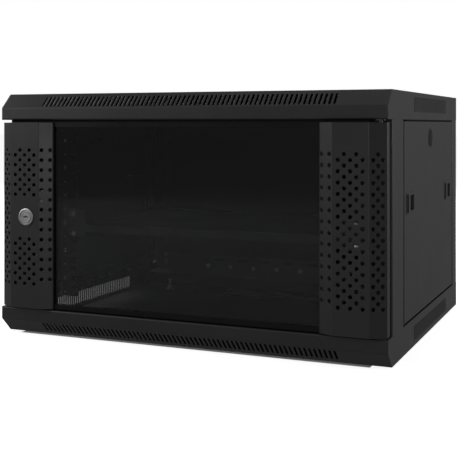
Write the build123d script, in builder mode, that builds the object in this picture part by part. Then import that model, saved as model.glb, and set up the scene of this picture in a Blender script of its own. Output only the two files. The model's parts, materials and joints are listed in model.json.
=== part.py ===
from build123d import *
from math import atan2, cos, hypot, radians, sin, sqrt
import os

# Six-unit wall-mount rack cabinet: two folded steel caps on four posts, lift-off side panels,
# a glass door between perforated stiles, 19-inch rails on depth brackets and a shelf.
# Frame: millimetres, +Z up, front towards -Y, origin at the middle of the underside.

os.makedirs("parts", exist_ok=True)

# ---- driving dimensions ----
cabinet_width = 600.0
cabinet_height = 368.0
cabinet_depth = 550.0          # lock face to back
rack_units = 6

# sheet thicknesses
frame_sheet = 1.2
door_sheet = 1.2
panel_sheet = 1.0
rail_sheet = 2.0
bracket_sheet = 2.0
shelf_sheet = 1.5

# caps and fascias
cap_height = 40.0
lip_height = 18.6
slope_run = 23.0
return_depth = 18.0
slot_pitch = 7.0
slot_width = 3.4
slot_length = 22.3
front_slot_span = 455.0        # first to last slot centre
front_slot_centre = 0.43       # share of the slope, from the lip
side_slot_start = 168.0        # behind the lip
side_slot_span = 259.0
side_slot_drop = 18.0          # slot centre below the roof

# posts
post_setback = 26.0            # post face behind the lip
post_flange = 26.0
front_post_rear = 95.0         # behind the lip
rear_post_width = 40.0
rear_post_flange = 42.0
rebate_depth = 13.1
rebate_lip = 18.0

# side panels and their latches
panel_gap = 2.5
panel_recess = 0.8
panel_flange = 12.0
latch_length = 56.0
latch_height = 30.0
latch_from_edge = 18.0         # panel edge to the bezel
latch_wall = 2.2               # bezel beyond the housing's body
latch_rim = 4.0                # plastic around the window and the pocket
latch_window_length = 12.0
latch_window_depth = 4.0
latch_z = 209.0
latch_depth = 22.0
bolt_travel = 9.0
pocket_length = 24.0
pocket_rim = 5.0
slider_thickness = 3.0
slider_height = 14.0
slider_tab = 7.0
slider_tab_length = 4.0
bolt_end_gap = 1.0             # drawn bolt to the post's lip
slider_tail = 18.0             # past the latch's middle
plug_radius = 14.5
plug_lap = 3.0                 # plug head beyond its hole
plug_wall = 2.0
plug_depth = 8.0
plug_z = 300.0
running_gap = 0.3

# door
door_proud = 10.0
door_gap_top = 4.0
door_gap_bottom = 2.0
stile_edge = 1.5
outer_bevel_end = 23.0
inner_bevel_start = 72.6
inner_bevel_end = 92.6
outer_bevel_foot = 3.0         # behind the lip
inner_bevel_foot = -0.6
edge_return = 4.0              # short flat behind the inner bevel
stile_return = 16.0
stile_hem = 14.0
fold_radius = 1.6
hole_radius = 2.85
hole_pitch_x = 8.25
hole_pitch_z = 7.5
hole_rows = 28
bevel_hole_gap = 13.0
outer_hole_gap = 6.4
lock_clear_rows = 8            # rows left blank around the lock
glass_thickness = 4.0
gasket_thickness = 0.6
glass_bite = 12.0
glass_rail_height = 7.0
glass_play = 0.3

# hinge
hinge_inset = 12.0
hinge_behind_lip = 8.0
pin_radius = 3.0
pin_clearance = 0.05
bush_wall = 2.0
hinge_block_height = 20.0
block_wall = 2.0
pin_engage = 6.0               # pin beyond the door, into its bush
knob_height = 8.0
knob_wall = 1.8                # knob beyond the pin
bush_head = 2.0                # bush flange beyond its wall
bush_tail = 3.0                # bush below the sheet

# lock
lock_drop = 3.2                # lock centre below the cabinet's middle
lock_shift = 3.2               # lock centre inside the stile's middle column
escutcheon_radius = 13.2
escutcheon_height = 2.6
lock_barrel_radius = 8.0
key_barrel_radius = 6.0
lock_length = 20.0
lock_nut_wall = 3.5
lock_nut_height = 3.5
key_slot = (1.6, 8.0, 6.0)     # width, length, depth
key_set_back = 0.4             # key barrel below the escutcheon
barrel_tail = 7.0              # across the square tail
cam_half_width = 6.0
cam_step = 18.0
cam_reach = 38.0
cam_sheet = 2.0
cam_gap = 0.8
cam_foot = 8.0                 # cam below the lock's axis
cam_screw_radius = 5.5
cam_screw_height = 2.5

# rack
unit_height = 44.45
rack_opening = 450.0
rail_hole_spacing = 465.1
rail_hole = 9.5
rail_face = 30.0
rail_web = 26.0
front_rail_behind_lip = 104.0
rear_rail_behind_lip = 452.0
unit_hole_heights = (6.35, 22.225, 38.1)
bracket_height = 28.0
bracket_slots = 12
bracket_slot_gap = 12.0
bracket_fold = 2.5             # bend radius, middle line
shelf_depth = 300.0
shelf_unit = 3
shelf_lip = 13.5
shelf_ear_width = 482.6
shelf_side_gap = 1.5
shelf_ear_root = 14.0          # ear's overlap behind the deck's edge
ear_gap = 0.4                  # ear edge inside its unit
cage_nut_side = 11.5
cage_nut_height = 5.0

# back
bar_bottom = 27.0
bar_height = 40.0
bar_screws = 8
bar_screw_pitch = 46.5
bar_slot_rise = 12.0           # tie slots above the screws
bar_slot = (20.0, 4.0)
wall_hole_radius = 5.0
wall_hole_span_x = 406.4       # wall studs at 16 inches
wall_hole_span_z = 200.0
cable_entry_width = 240.0
cable_entry_depth = 60.0
cable_entry_from_back = 66.0
edging_wall = 2.4
entry_corner = 6.0
plate_lap_x = 15.0             # roof plate beyond the entry
plate_lap_y = 13.0
plate_screw_inset = 7.0        # screw row beyond the entry
earth_inset = 70.0             # earth stud from the side and the back
earth_stud_height = 20.0
washer_radius = 7.0
washer_sheet = 1.4
back_screw_inset = 20.0
fan_hole_spacing = 105.0
fan_hole_radius = 2.25
fan_grille_radius = 52.0
fan_y = -10.0

# fasteners
m6_radius = 3.0
hex_radius = 5.77
hex_height = 4.0
nut_height = 5.0
pan_radius = 5.2
pan_height = 3.2
small_pan_radius = 3.6
small_pan_height = 2.0
small_screw_radius = 1.9

# ---- places worked out from them ----
half_width = cabinet_width / 2
lip_y = -cabinet_depth / 2 + door_proud + escutcheon_height
back_y = cabinet_depth / 2
mid_z = cabinet_height / 2
slope_rise = cap_height - lip_height
post_face_y = lip_y + post_setback
front_post_end_y = lip_y + front_post_rear
rear_post_start_y = back_y - rear_post_width
panel_front_y = front_post_end_y + panel_gap
panel_rear_y = rear_post_start_y - panel_gap
panel_low_z = cap_height + panel_gap
panel_high_z = cabinet_height - cap_height - panel_gap
door_low_z = cap_height + door_gap_bottom
door_high_z = cabinet_height - cap_height - door_gap_top
door_height = door_high_z - door_low_z
hinge_x = half_width - hinge_inset
hinge_y = lip_y + hinge_behind_lip
lock_x = -half_width + (outer_bevel_end + inner_bevel_start) / 2 + lock_shift
lock_z = mid_z - lock_drop
door_face_y = lip_y - door_proud
zone_low_z = mid_z - rack_units * unit_height / 2
rail_low_z = cap_height + 4.0
rail_high_z = cabinet_height - cap_height - 4.0
front_rail_y = lip_y + front_rail_behind_lip
rear_rail_y = lip_y + rear_rail_behind_lip
rail_hole_x = rail_hole_spacing / 2
rail_outer_x = rack_opening / 2 + rail_face
shelf_z = zone_low_z + (shelf_unit - 0.5) * unit_height
hem_rear_y = lip_y + inner_bevel_foot + edge_return
glass_front_y = hem_rear_y + gasket_thickness
glass_rear_y = glass_front_y + glass_thickness
glass_edge_x = half_width - inner_bevel_end + glass_bite
retainer_y = glass_rear_y + gasket_thickness
bar_y = rear_post_start_y + frame_sheet
entry_y = back_y - cable_entry_from_back


def save(piece, name):
    """Label a finished piece and write it as one STEP file."""
    piece.part.label = name
    export_step(piece.part, f"parts/{name}.step")


def shifted(points, distance):
    """The parallel polyline, the given distance to the left of the walk along points."""
    moved = []
    for i, (x, y) in enumerate(points):
        before = points[max(i - 1, 0)]
        after = points[min(i + 1, len(points) - 1)]
        into = atan2(y - before[1], x - before[0]) if i else None
        out = atan2(after[1] - y, after[0] - x) if i < len(points) - 1 else None
        into = out if into is None else into
        out = into if out is None else out
        half = (out - into) / 2
        bisector = into + half + radians(90)
        reach = distance / cos(half)
        moved.append((x + reach * cos(bisector), y + reach * sin(bisector)))
    return moved


def folded_strip(points, sheet, low_z, high_z, radius):
    """A folded sheet standing upright: points are its middle line in plan."""
    with BuildPart() as strip:
        with BuildSketch(Plane.XY.offset(low_z)):
            with BuildLine():
                FilletPolyline(*points, radius=radius)
            trace(line_width=sheet)
        extrude(amount=high_z - low_z)
    return strip


def flip(piece):
    """The same piece turned upside down about the cabinet's middle height."""
    with BuildPart() as flipped:
        mirror(piece.part, about=Plane.XY.offset(mid_z))
    return flipped


def handed(piece, side):
    """The piece as drawn for the right side, or its mirror image for the left."""
    if side > 0:
        return piece
    with BuildPart() as other:
        mirror(piece.part, about=Plane.YZ)
    return other


def row(count, pitch):
    """Evenly spaced places either side of zero."""
    return [(i - (count - 1) / 2) * pitch for i in range(count)]


# ---- caps ----
def make_cap():
    """Roof with side flanges and rear flange; the floor is the same piece turned over."""
    eave_z = cabinet_height - cap_height
    lip_top_z = cabinet_height - slope_rise
    with BuildPart() as cap:
        with BuildSketch(Plane.YZ.offset(-half_width)):
            with BuildLine():
                Polyline(
                    (lip_y, eave_z),
                    (lip_y, lip_top_z),
                    (lip_y + slope_run, cabinet_height),
                    (back_y, cabinet_height),
                    (back_y, eave_z),
                    close=True,
                )
            make_face()
        extrude(amount=cabinet_width)
        # hollow under the roof, open below
        with BuildSketch(Plane.YZ.offset(-half_width + frame_sheet)):
            with BuildLine():
                Polyline(
                    (lip_y - 1, eave_z - 1),
                    (lip_y - 1, cabinet_height + 1),
                    (lip_y + slope_run, cabinet_height + 1),
                    (lip_y + slope_run, cabinet_height - frame_sheet),
                    (back_y - frame_sheet, cabinet_height - frame_sheet),
                    (back_y - frame_sheet, eave_z - 1),
                    close=True,
                )
            make_face()
        extrude(amount=cabinet_width - 2 * frame_sheet, mode=Mode.SUBTRACT)
        # vent slots through both side flanges
        side_slots = int(side_slot_span / slot_pitch) + 1
        slot_middle_y = lip_y + side_slot_start + side_slot_span / 2
        with BuildSketch(Plane.YZ.offset(-half_width - 1)):
            for y in row(side_slots, slot_pitch):
                with Locations((slot_middle_y + y, cabinet_height - side_slot_drop)):
                    SlotOverall(slot_length, slot_width, rotation=90)
        extrude(amount=cabinet_width + 2, mode=Mode.SUBTRACT)
    return cap


def add_cable_entry(cap):
    """Cut the rectangular cable entry near the back of a cap's flat sheet."""
    with BuildPart() as cut:
        add(cap.part)
        with BuildSketch(Plane.XY):
            with Locations((0, entry_y)):
                RectangleRounded(cable_entry_width, cable_entry_depth, entry_corner)
        extrude(amount=cabinet_height + 1, mode=Mode.SUBTRACT)
    return cut


def plate_screw_places():
    """Corners of the roof plate's screws."""
    x = cable_entry_width / 2 + plate_screw_inset
    y = cable_entry_depth / 2 + plate_screw_inset
    return [(sx * x, entry_y + sy * y) for sx in (-1, 1) for sy in (-1, 1)]


def make_top_cover(cap):
    """Roof with its fan grille, fan screw holes and plated cable entry."""
    entry = add_cable_entry(cap)
    with BuildPart() as cover:
        add(entry.part)
        with BuildSketch(Plane.XY.offset(cabinet_height - 2 * frame_sheet)):
            grille_slots = 2 * int(fan_grille_radius / (2 * slot_width + 1)) + 1
            for x in row(grille_slots, 2 * slot_width + 1):
                with Locations((x, fan_y)):
                    SlotOverall(2 * sqrt(fan_grille_radius**2 - x**2), slot_width, rotation=90)
            with Locations((0, fan_y)):
                with GridLocations(fan_hole_spacing, fan_hole_spacing, 2, 2):
                    Circle(fan_hole_radius)
            with Locations(*plate_screw_places()):
                Circle(small_screw_radius)
        extrude(amount=3 * frame_sheet, mode=Mode.SUBTRACT)
    return cover


def make_fascia():
    """Folded front strip: lip, slotted slope and the return flange behind the lip."""
    half_sheet = frame_sheet / 2
    eave_z = cabinet_height - cap_height
    inner_width = cabinet_width - 2 * frame_sheet
    slope_length = hypot(slope_run, slope_rise)
    across = Vector(0, -slope_rise, slope_run) / slope_length
    outline = shifted(
        [
            (lip_y + slope_run, cabinet_height),
            (lip_y, cabinet_height - slope_rise),
            (lip_y, eave_z),
            (lip_y + return_depth, eave_z),
        ],
        half_sheet,
    )
    slot_y = lip_y + front_slot_centre * slope_run
    slot_z = cabinet_height - slope_rise + front_slot_centre * slope_rise
    slope_plane = Plane(origin=(0, slot_y, slot_z), x_dir=(1, 0, 0), z_dir=across)
    with BuildPart() as fascia:
        with BuildSketch(Plane.YZ.offset(-inner_width / 2)):
            with BuildLine():
                FilletPolyline(*outline, radius=fold_radius)
            trace(line_width=frame_sheet)
        extrude(amount=inner_width)
        # keep the strip's top edge against the roof's front edge
        with BuildSketch(Plane.YZ.offset(-inner_width / 2)):
            with Locations((lip_y + slope_run + 5, cabinet_height)):
                Rectangle(10, 10)
        extrude(amount=inner_width, mode=Mode.SUBTRACT)
        # slots square to the lip
        with BuildSketch(slope_plane.offset(-3 * frame_sheet)):
            for x in row(int(front_slot_span / slot_pitch) + 1, slot_pitch):
                with Locations((x, 0)):
                    SlotOverall(slot_length, slot_width, rotation=90)
        extrude(amount=6 * frame_sheet, mode=Mode.SUBTRACT)
        # seat of the hinge bush
        with BuildSketch(Plane.XY.offset(eave_z - 1)):
            with Locations((hinge_x, hinge_y)):
                Circle(pin_radius + bush_wall)
        extrude(amount=frame_sheet + 2, mode=Mode.SUBTRACT)
    return fascia


# ---- posts ----
def tongue(x_inner, y):
    """Flat end of a post flange that runs up behind a cap to its sheet."""
    width = half_width - frame_sheet - x_inner
    with Locations((x_inner + width / 2, y, mid_z)):
        Box(width, frame_sheet, cabinet_height - 2 * frame_sheet)


def make_front_post():
    """Front right post: face flange, outer web, rebate and lip for the side panel."""
    t = frame_sheet / 2
    rebate_x = half_width - rebate_depth - t
    section = [
        (half_width - post_flange, post_face_y + t),
        (half_width - t, post_face_y + t),
        (half_width - t, front_post_end_y - t),
        (rebate_x, front_post_end_y - t),
        (rebate_x, front_post_end_y + rebate_lip),
    ]
    strip = folded_strip(section, frame_sheet, cap_height, cabinet_height - cap_height, fold_radius)
    with BuildPart() as post:
        add(strip.part)
        tongue(half_width - post_flange, post_face_y + t)
        # bolt holes of the depth brackets
        with BuildSketch(Plane.XZ.offset(-post_face_y + 1)):
            for z in bracket_middles():
                with Locations((bracket_bolt_x(), z)):
                    Circle(m6_radius)
        extrude(amount=-(frame_sheet + 2), mode=Mode.SUBTRACT)
    return post


def make_rear_post():
    """Rear right post: rebate and lip for the side panel, outer web, rear flange."""
    t = frame_sheet / 2
    rebate_x = half_width - rebate_depth - t
    section = [
        (rebate_x, rear_post_start_y - rebate_lip),
        (rebate_x, rear_post_start_y + t),
        (half_width - t, rear_post_start_y + t),
        (half_width - t, back_y - t),
        (half_width - rear_post_flange, back_y - t),
    ]
    strip = folded_strip(section, frame_sheet, cap_height, cabinet_height - cap_height, fold_radius)
    with BuildPart() as post:
        add(strip.part)
        tongue(half_width - rebate_depth - frame_sheet, rear_post_start_y + t)
    return post


# ---- side panels ----
def latch_middles():
    """Middle of the front and the rear latch along Y."""
    inset = latch_from_edge + latch_length / 2
    return (panel_front_y + inset, panel_rear_y - inset)


def make_side_panel():
    """Right side panel: a shallow tray with two latch cut-outs and a plug hole."""
    face_x = half_width - panel_recess
    length = panel_rear_y - panel_front_y
    height = panel_high_z - panel_low_z
    middle = ((panel_front_y + panel_rear_y) / 2, (panel_low_z + panel_high_z) / 2)
    with BuildPart() as panel:
        with BuildSketch(Plane.YZ.offset(face_x - panel_flange)):
            with Locations(middle):
                RectangleRounded(length, height, 2)
        extrude(amount=panel_flange)
        with BuildSketch(Plane.YZ.offset(face_x - panel_flange)):
            with Locations(middle):
                RectangleRounded(length - 2 * panel_sheet, height - 2 * panel_sheet, 1)
        extrude(amount=panel_flange - panel_sheet, mode=Mode.SUBTRACT)
        with BuildSketch(Plane.YZ.offset(face_x - 2 * panel_sheet)):
            for y in latch_middles():
                with Locations((y, latch_z)):
                    RectangleRounded(latch_length - 4, latch_height - 4, 2)
            with Locations((middle[0], plug_z)):
                Circle(plug_radius - plug_lap)
        extrude(amount=4 * panel_sheet, mode=Mode.SUBTRACT)
    return panel


def make_panel_plug():
    """Domed blanking plug of the side panel's lock hole."""
    face_x = half_width - panel_recess
    middle_y = (panel_front_y + panel_rear_y) / 2
    with BuildPart() as plug:
        with BuildSketch(Plane.YZ.offset(face_x)):
            with Locations((middle_y, plug_z)):
                Circle(plug_radius)
        extrude(amount=panel_recess - 0.1)
        with BuildSketch(Plane.YZ.offset(face_x)):
            with Locations((middle_y, plug_z)):
                Circle(plug_radius - plug_lap - 0.1)
                Circle(plug_radius - plug_lap - plug_wall, mode=Mode.SUBTRACT)
        extrude(amount=-plug_depth)
    return plug


def make_latch_housing(middle_y, outward):
    """Moulded latch housing: bezel, slider window and finger pocket."""
    face_x = half_width - panel_recess
    floor_x = half_width - latch_depth
    window_y = middle_y - latch_length / 2 + 3 + latch_window_length / 2
    body = (latch_length - 2 * latch_wall, latch_height - 2 * latch_wall)
    with BuildPart() as housing:
        # bezel on the panel, body behind it
        with BuildSketch(Plane.YZ.offset(face_x)):
            with Locations((middle_y, latch_z)):
                RectangleRounded(latch_length, latch_height, 3)
        extrude(amount=panel_recess)
        with BuildSketch(Plane.YZ.offset(floor_x)):
            with Locations((middle_y, latch_z)):
                RectangleRounded(*body, 2)
        extrude(amount=face_x - floor_x)
        # blind window and finger pocket open to the outside
        with BuildSketch(Plane.YZ.offset(half_width)):
            with Locations((window_y, latch_z)):
                Rectangle(latch_window_length, latch_height - latch_rim)
        extrude(amount=-latch_window_depth, mode=Mode.SUBTRACT)
        with BuildSketch(Plane.YZ.offset(half_width)):
            with Locations((pocket_middle(middle_y), latch_z)):
                RectangleRounded(pocket_length, latch_height - 2 * latch_rim, 2)
        extrude(amount=slider_x() - half_width, mode=Mode.SUBTRACT)
        # channel for the slider, open at the bolt's end
        with Locations((slider_x(), middle_y + outward * 6, latch_z)):
            Box(
                slider_thickness + 2 * running_gap,
                latch_length + 4,
                slider_height + 2 * running_gap,
                mode=Mode.SUBTRACT,
            )
    return housing


def slider_x():
    """Middle of the slider's thickness: just inside the rebate lip."""
    return half_width - rebate_depth - frame_sheet - 2 * running_gap - slider_thickness / 2


def pocket_middle(middle_y):
    """Middle of a latch's finger pocket along Y."""
    return middle_y + latch_length / 2 - pocket_length / 2 - pocket_rim


def make_latch_slider(middle_y, outward):
    """Sliding bolt of a latch, drawn back; outward points to the panel's edge."""
    edge_y = middle_y + outward * (latch_length / 2 - latch_wall)
    lip_end_gap = latch_from_edge + latch_wall + panel_gap - rebate_lip
    bolt_out = lip_end_gap - bolt_end_gap
    start_y = middle_y - outward * slider_tail
    end_y = edge_y + outward * bolt_out
    with BuildPart() as slider:
        with Locations((slider_x(), (start_y + end_y) / 2, latch_z)):
            Box(slider_thickness, abs(end_y - start_y), slider_height)
        # finger tab standing in the pocket, half the travel either side of its middle
        tab_y = pocket_middle(middle_y) - outward * bolt_travel / 2
        with Locations((slider_x() + slider_tab / 2, tab_y, latch_z)):
            Box(slider_tab, slider_tab_length, slider_height - 2)
    return slider


# ---- door ----
def stile_outline():
    """Outer face of the right stile in plan, from the outer return to the hem."""
    return [
        (half_width - stile_edge, lip_y + stile_return),
        (half_width - stile_edge, lip_y + outer_bevel_foot),
        (half_width - outer_bevel_end, door_face_y),
        (half_width - inner_bevel_start, door_face_y),
        (half_width - inner_bevel_end, lip_y + inner_bevel_foot),
        (half_width - inner_bevel_end, lip_y + inner_bevel_foot + edge_return),
        (half_width - inner_bevel_end + stile_hem, lip_y + inner_bevel_foot + edge_return),
    ]


def bevel_plane(start, end):
    """Upright plane through the middle of a bevel: local X is up, local Y across the bevel."""
    middle = ((start[0] + end[0]) / 2, (start[1] + end[1]) / 2)
    run = hypot(end[0] - start[0], end[1] - start[1])
    normal = Vector((start[1] - end[1]) / run, (end[0] - start[0]) / run, 0)
    return Plane(origin=(middle[0], middle[1], 0), x_dir=(0, 0, 1), z_dir=normal)


def make_stile(lock_rows):
    """Perforated folded stile for the right side; lock_rows leaves room for the lock."""
    outline = stile_outline()
    middle_line = shifted(outline, -door_sheet / 2)
    face_middle = (outline[2][0] + outline[3][0]) / 2
    top_row_z = mid_z - lock_drop + (hole_rows - 1) * hole_pitch_z / 2
    row_heights = [top_row_z - i * hole_pitch_z for i in range(hole_rows)]
    blank_from = (hole_rows - lock_rows) // 2
    strip = folded_strip(middle_line, door_sheet, door_low_z, door_high_z, fold_radius)
    with BuildPart() as stile:
        add(strip.part)
        with BuildSketch(Plane.XZ.offset(-door_face_y + 1)):
            for i, z in enumerate(row_heights):
                if blank_from <= i < blank_from + lock_rows:
                    continue
                columns = (-1, 1) if i % 2 == 0 else (-2, 0, 2)
                with Locations(*[(face_middle + k * hole_pitch_x, z) for k in columns]):
                    Circle(hole_radius)
        extrude(amount=-(door_sheet + 2), mode=Mode.SUBTRACT)
        with BuildSketch(bevel_plane(outline[1], outline[2]).offset(-3)):
            for i, z in enumerate(row_heights):
                columns = (0,) if i % 2 == 0 else (-outer_hole_gap, outer_hole_gap)
                with Locations(*[(z, across) for across in columns]):
                    Circle(hole_radius)
        extrude(amount=6, mode=Mode.SUBTRACT)
        with BuildSketch(bevel_plane(outline[3], outline[4]).offset(-2)):
            with Locations(*[(z, s * bevel_hole_gap / 2) for z in row_heights[::2] for s in (-1, 1)]):
                Circle(hole_radius)
        extrude(amount=4, mode=Mode.SUBTRACT)
    return stile


def make_glass_retainer():
    """Strip behind the glass's right edge, fixed to the stile's hem."""
    t = panel_sheet
    leg = glass_bite + glass_play + t
    with BuildPart() as retainer:
        with BuildSketch(Plane.XY.offset(door_low_z)):
            with Locations((glass_edge_x + glass_play + t - leg / 2, retainer_y + t / 2)):
                Rectangle(leg, t)
            with Locations((glass_edge_x + glass_play + t / 2, (hem_rear_y + retainer_y) / 2)):
                Rectangle(t, retainer_y - hem_rear_y)
        extrude(amount=door_height)
    return retainer


def glass_half_width():
    """Half the daylight width between the stiles."""
    return half_width - inner_bevel_end


def make_glass():
    """Toughened pane, held by the stiles' hems and the two rails."""
    height = door_height - 2 * (panel_sheet + glass_play)
    with BuildPart() as glass:
        with Locations((0, glass_front_y + glass_thickness / 2, (door_low_z + door_high_z) / 2)):
            Box(2 * glass_edge_x, glass_thickness, height)
        chamfer(glass.edges().filter_by(Axis.Z), length=0.5)
    return glass


def make_gasket():
    """Sealing tape in front of and behind the glass at both stiles."""
    with BuildPart() as gasket:
        middle_x = glass_edge_x - glass_bite / 2
        for side in (-1, 1):
            for y in (hem_rear_y + gasket_thickness / 2, glass_rear_y + gasket_thickness / 2):
                with Locations((side * middle_x, y, (door_low_z + door_high_z) / 2)):
                    Box(glass_bite - 1, gasket_thickness, door_height - 2 * panel_sheet)
    return gasket


def make_top_glass_rail():
    """Channel over the glass's top edge, from retainer to retainer."""
    t = panel_sheet
    half = glass_half_width()
    front_y = glass_front_y - t - glass_play
    rear_y = retainer_y
    with BuildPart() as rail:
        with BuildSketch(Plane.YZ.offset(-half)):
            with Locations((front_y + t / 2, door_high_z - glass_rail_height / 2)):
                Rectangle(t, glass_rail_height)
            with Locations((rear_y + t / 2, door_high_z - glass_rail_height / 2)):
                Rectangle(t, glass_rail_height)
            with Locations(((front_y + rear_y + t) / 2, door_high_z - t / 2)):
                Rectangle(rear_y + t - front_y, t)
        extrude(amount=2 * half)
    return rail


# ---- hinge ----
def make_hinge_blocks():
    """Steel blocks in the hinge stile's outer corner that carry the pins."""
    inner_x = hinge_x - pin_radius - 2 * block_wall
    outer_x = half_width - stile_edge - door_sheet
    front_y = lip_y + outer_bevel_foot + door_sheet
    rear_y = hinge_y + pin_radius + block_wall
    with BuildPart() as blocks:
        for z in (door_low_z + hinge_block_height / 2, door_high_z - hinge_block_height / 2):
            with Locations(((inner_x + outer_x) / 2, (front_y + rear_y) / 2, z)):
                Box(outer_x - inner_x, rear_y - front_y, hinge_block_height)
        with BuildSketch(Plane.XY):
            with Locations((hinge_x, hinge_y)):
                Circle(pin_radius + pin_clearance)
        extrude(amount=cabinet_height, mode=Mode.SUBTRACT)
    return blocks


def make_lower_pin():
    """Lower hinge pin, fixed in its block and running in the lower bush."""
    with BuildPart() as pin:
        with BuildSketch(Plane.XY.offset(cap_height - pin_engage)):
            with Locations((hinge_x, hinge_y)):
                Circle(pin_radius)
        extrude(amount=door_low_z + hinge_block_height + 2 - cap_height + pin_engage)
        with BuildSketch(Plane.XY.offset(door_low_z + hinge_block_height)):
            with Locations((hinge_x, hinge_y)):
                Circle(pin_radius + 1.5)
        extrude(amount=2)
    return pin


def make_upper_pin():
    """Sprung upper hinge pin with its knob; it draws down to free the door."""
    block_low_z = door_high_z - hinge_block_height
    tip_z = cabinet_height - cap_height + pin_engage
    with BuildPart() as pin:
        with BuildSketch(Plane.XY.offset(block_low_z - running_gap - 1)):
            with Locations((hinge_x, hinge_y)):
                Circle(pin_radius)
        extrude(amount=tip_z - block_low_z + running_gap + 1)
        with BuildSketch(Plane.XY.offset(block_low_z - running_gap - knob_height)):
            with Locations((hinge_x, hinge_y)):
                Circle(pin_radius + knob_wall)
        extrude(amount=knob_height)
        chamfer(pin.faces().sort_by(Axis.Z)[-1].edges(), length=0.6)
    return pin


def make_lower_bush():
    """Flanged nylon bush in the bottom fascia; the upper one is the same turned over."""
    head = door_gap_bottom - running_gap
    with BuildPart() as bush:
        with BuildSketch(Plane.XY.offset(cap_height - frame_sheet - bush_tail)):
            with Locations((hinge_x, hinge_y)):
                Circle(pin_radius + bush_wall - pin_clearance)
        extrude(amount=frame_sheet + bush_tail)
        with BuildSketch(Plane.XY.offset(cap_height)):
            with Locations((hinge_x, hinge_y)):
                Circle(pin_radius + bush_wall + bush_head)
        extrude(amount=head)
        with BuildSketch(Plane.XY.offset(cap_height - 10)):
            with Locations((hinge_x, hinge_y)):
                Circle(pin_radius + pin_clearance)
        extrude(amount=20, mode=Mode.SUBTRACT)
    return bush


# ---- lock ----
def lock_plane(y):
    """Plane across the lock's axis, facing the front, at the given depth."""
    return Plane(origin=(lock_x, y, lock_z), x_dir=(1, 0, 0), z_dir=(0, -1, 0))


def make_lock_body():
    """Escutcheon and threaded barrel of the cam lock."""
    with BuildPart() as body:
        with BuildSketch(lock_plane(door_face_y)):
            Circle(escutcheon_radius)
        extrude(amount=escutcheon_height)
        chamfer(body.faces().sort_by(Axis.Y)[0].edges(), length=1.2)
        with BuildSketch(lock_plane(door_face_y)):
            Circle(lock_barrel_radius)
        extrude(amount=-lock_length)
        with BuildSketch(lock_plane(door_face_y - escutcheon_height - 1)):
            Circle(key_barrel_radius + pin_clearance)
        extrude(amount=-(lock_length + escutcheon_height + 2), mode=Mode.SUBTRACT)
    return body


def make_lock_nut():
    """Hexagon nut behind the stile's face."""
    with BuildPart() as nut:
        with BuildSketch(lock_plane(door_face_y + door_sheet)):
            RegularPolygon(lock_barrel_radius + lock_nut_wall, 6)
            Circle(lock_barrel_radius + pin_clearance, mode=Mode.SUBTRACT)
        extrude(amount=-lock_nut_height)
    return nut


def make_lock_barrel():
    """Turning key barrel with its key slot and square tail."""
    tail_y = door_face_y + lock_length
    with BuildPart() as barrel:
        with BuildSketch(lock_plane(door_face_y - escutcheon_height + key_set_back)):
            Circle(key_barrel_radius)
        extrude(amount=-(lock_length + escutcheon_height))
        with BuildSketch(lock_plane(door_face_y - escutcheon_height)):
            Rectangle(key_slot[0], key_slot[1])
        extrude(amount=-key_slot[2], mode=Mode.SUBTRACT)
        with BuildSketch(lock_plane(tail_y)):
            Rectangle(barrel_tail, barrel_tail)
        extrude(amount=-(key_set_back + cam_sheet))
    return barrel


def make_lock_cam():
    """Cranked cam: foot on the barrel, step back, tip that goes behind the post's flange."""
    foot_y = door_face_y + lock_length + 0.5
    tip_y = post_face_y + frame_sheet + cam_gap
    with BuildPart() as cam:
        foot_height = cam_step + cam_sheet + cam_foot
        with Locations((lock_x, foot_y + cam_sheet / 2, lock_z + foot_height / 2 - cam_foot)):
            Box(2 * cam_half_width, cam_sheet, foot_height)
        with Locations((lock_x, (foot_y + tip_y + cam_sheet) / 2, lock_z + cam_step + cam_sheet / 2)):
            Box(2 * cam_half_width, tip_y + cam_sheet - foot_y, cam_sheet)
        with Locations((lock_x, tip_y + cam_sheet / 2, lock_z + (cam_step + cam_reach) / 2)):
            Box(2 * cam_half_width, cam_sheet, cam_reach - cam_step)
        with BuildSketch(lock_plane(foot_y - 1)):
            Rectangle(barrel_tail + 2 * pin_clearance, barrel_tail + 2 * pin_clearance)
        extrude(amount=-(cam_sheet + 2), mode=Mode.SUBTRACT)
    return cam


def make_cam_screw():
    """Screw and washer that hold the cam on the barrel's tail."""
    with BuildPart() as screw:
        with BuildSketch(lock_plane(door_face_y + lock_length + 0.5 + cam_sheet)):
            Circle(cam_screw_radius)
        extrude(amount=-cam_screw_height)
    return screw


# ---- rack ----
def bracket_middles():
    """Heights of the lower and the upper depth bracket."""
    edge = cap_height + 2 + bracket_height / 2
    return (edge, cabinet_height - edge)


def bracket_bolt_x():
    return half_width - post_flange / 2


def bracket_tab_y():
    """Middle of the rear tab's thickness, against the rear post's lip."""
    return rear_post_start_y - rebate_lip / 2


def tab_bolt_x():
    """Middle of the rear tab, clear of the bracket's fold."""
    return (rail_outer_x + bracket_sheet + half_width - rebate_depth - frame_sheet) / 2


def tab_bolt_z(z):
    """The tab's bolt: level with the cable bar, or its mirror image on the upper bracket."""
    bar_middle = bar_bottom + bar_height / 2
    return bar_middle if z < mid_z else cabinet_height - bar_middle


def hexagon_bolt(plane, grip, head):
    """Hexagon bolt into the part being built: head on the plane, shank the other way."""
    with BuildSketch(plane) as hexagon:
        RegularPolygon(hex_radius, 6)
    extrude(hexagon.sketch, amount=head)
    with BuildSketch(plane) as shank:
        Circle(m6_radius - pin_clearance)
    extrude(shank.sketch, amount=-grip)


def pan_screw(plane, grip, radius, height, shank):
    """Pan-head screw into the part being built: head on the plane, shank the other way."""
    with BuildSketch(plane) as disc:
        Circle(radius)
    extrude(disc.sketch, amount=height, taper=12)
    with BuildSketch(plane) as core:
        Circle(shank)
    extrude(core.sketch, amount=-grip)


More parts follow.
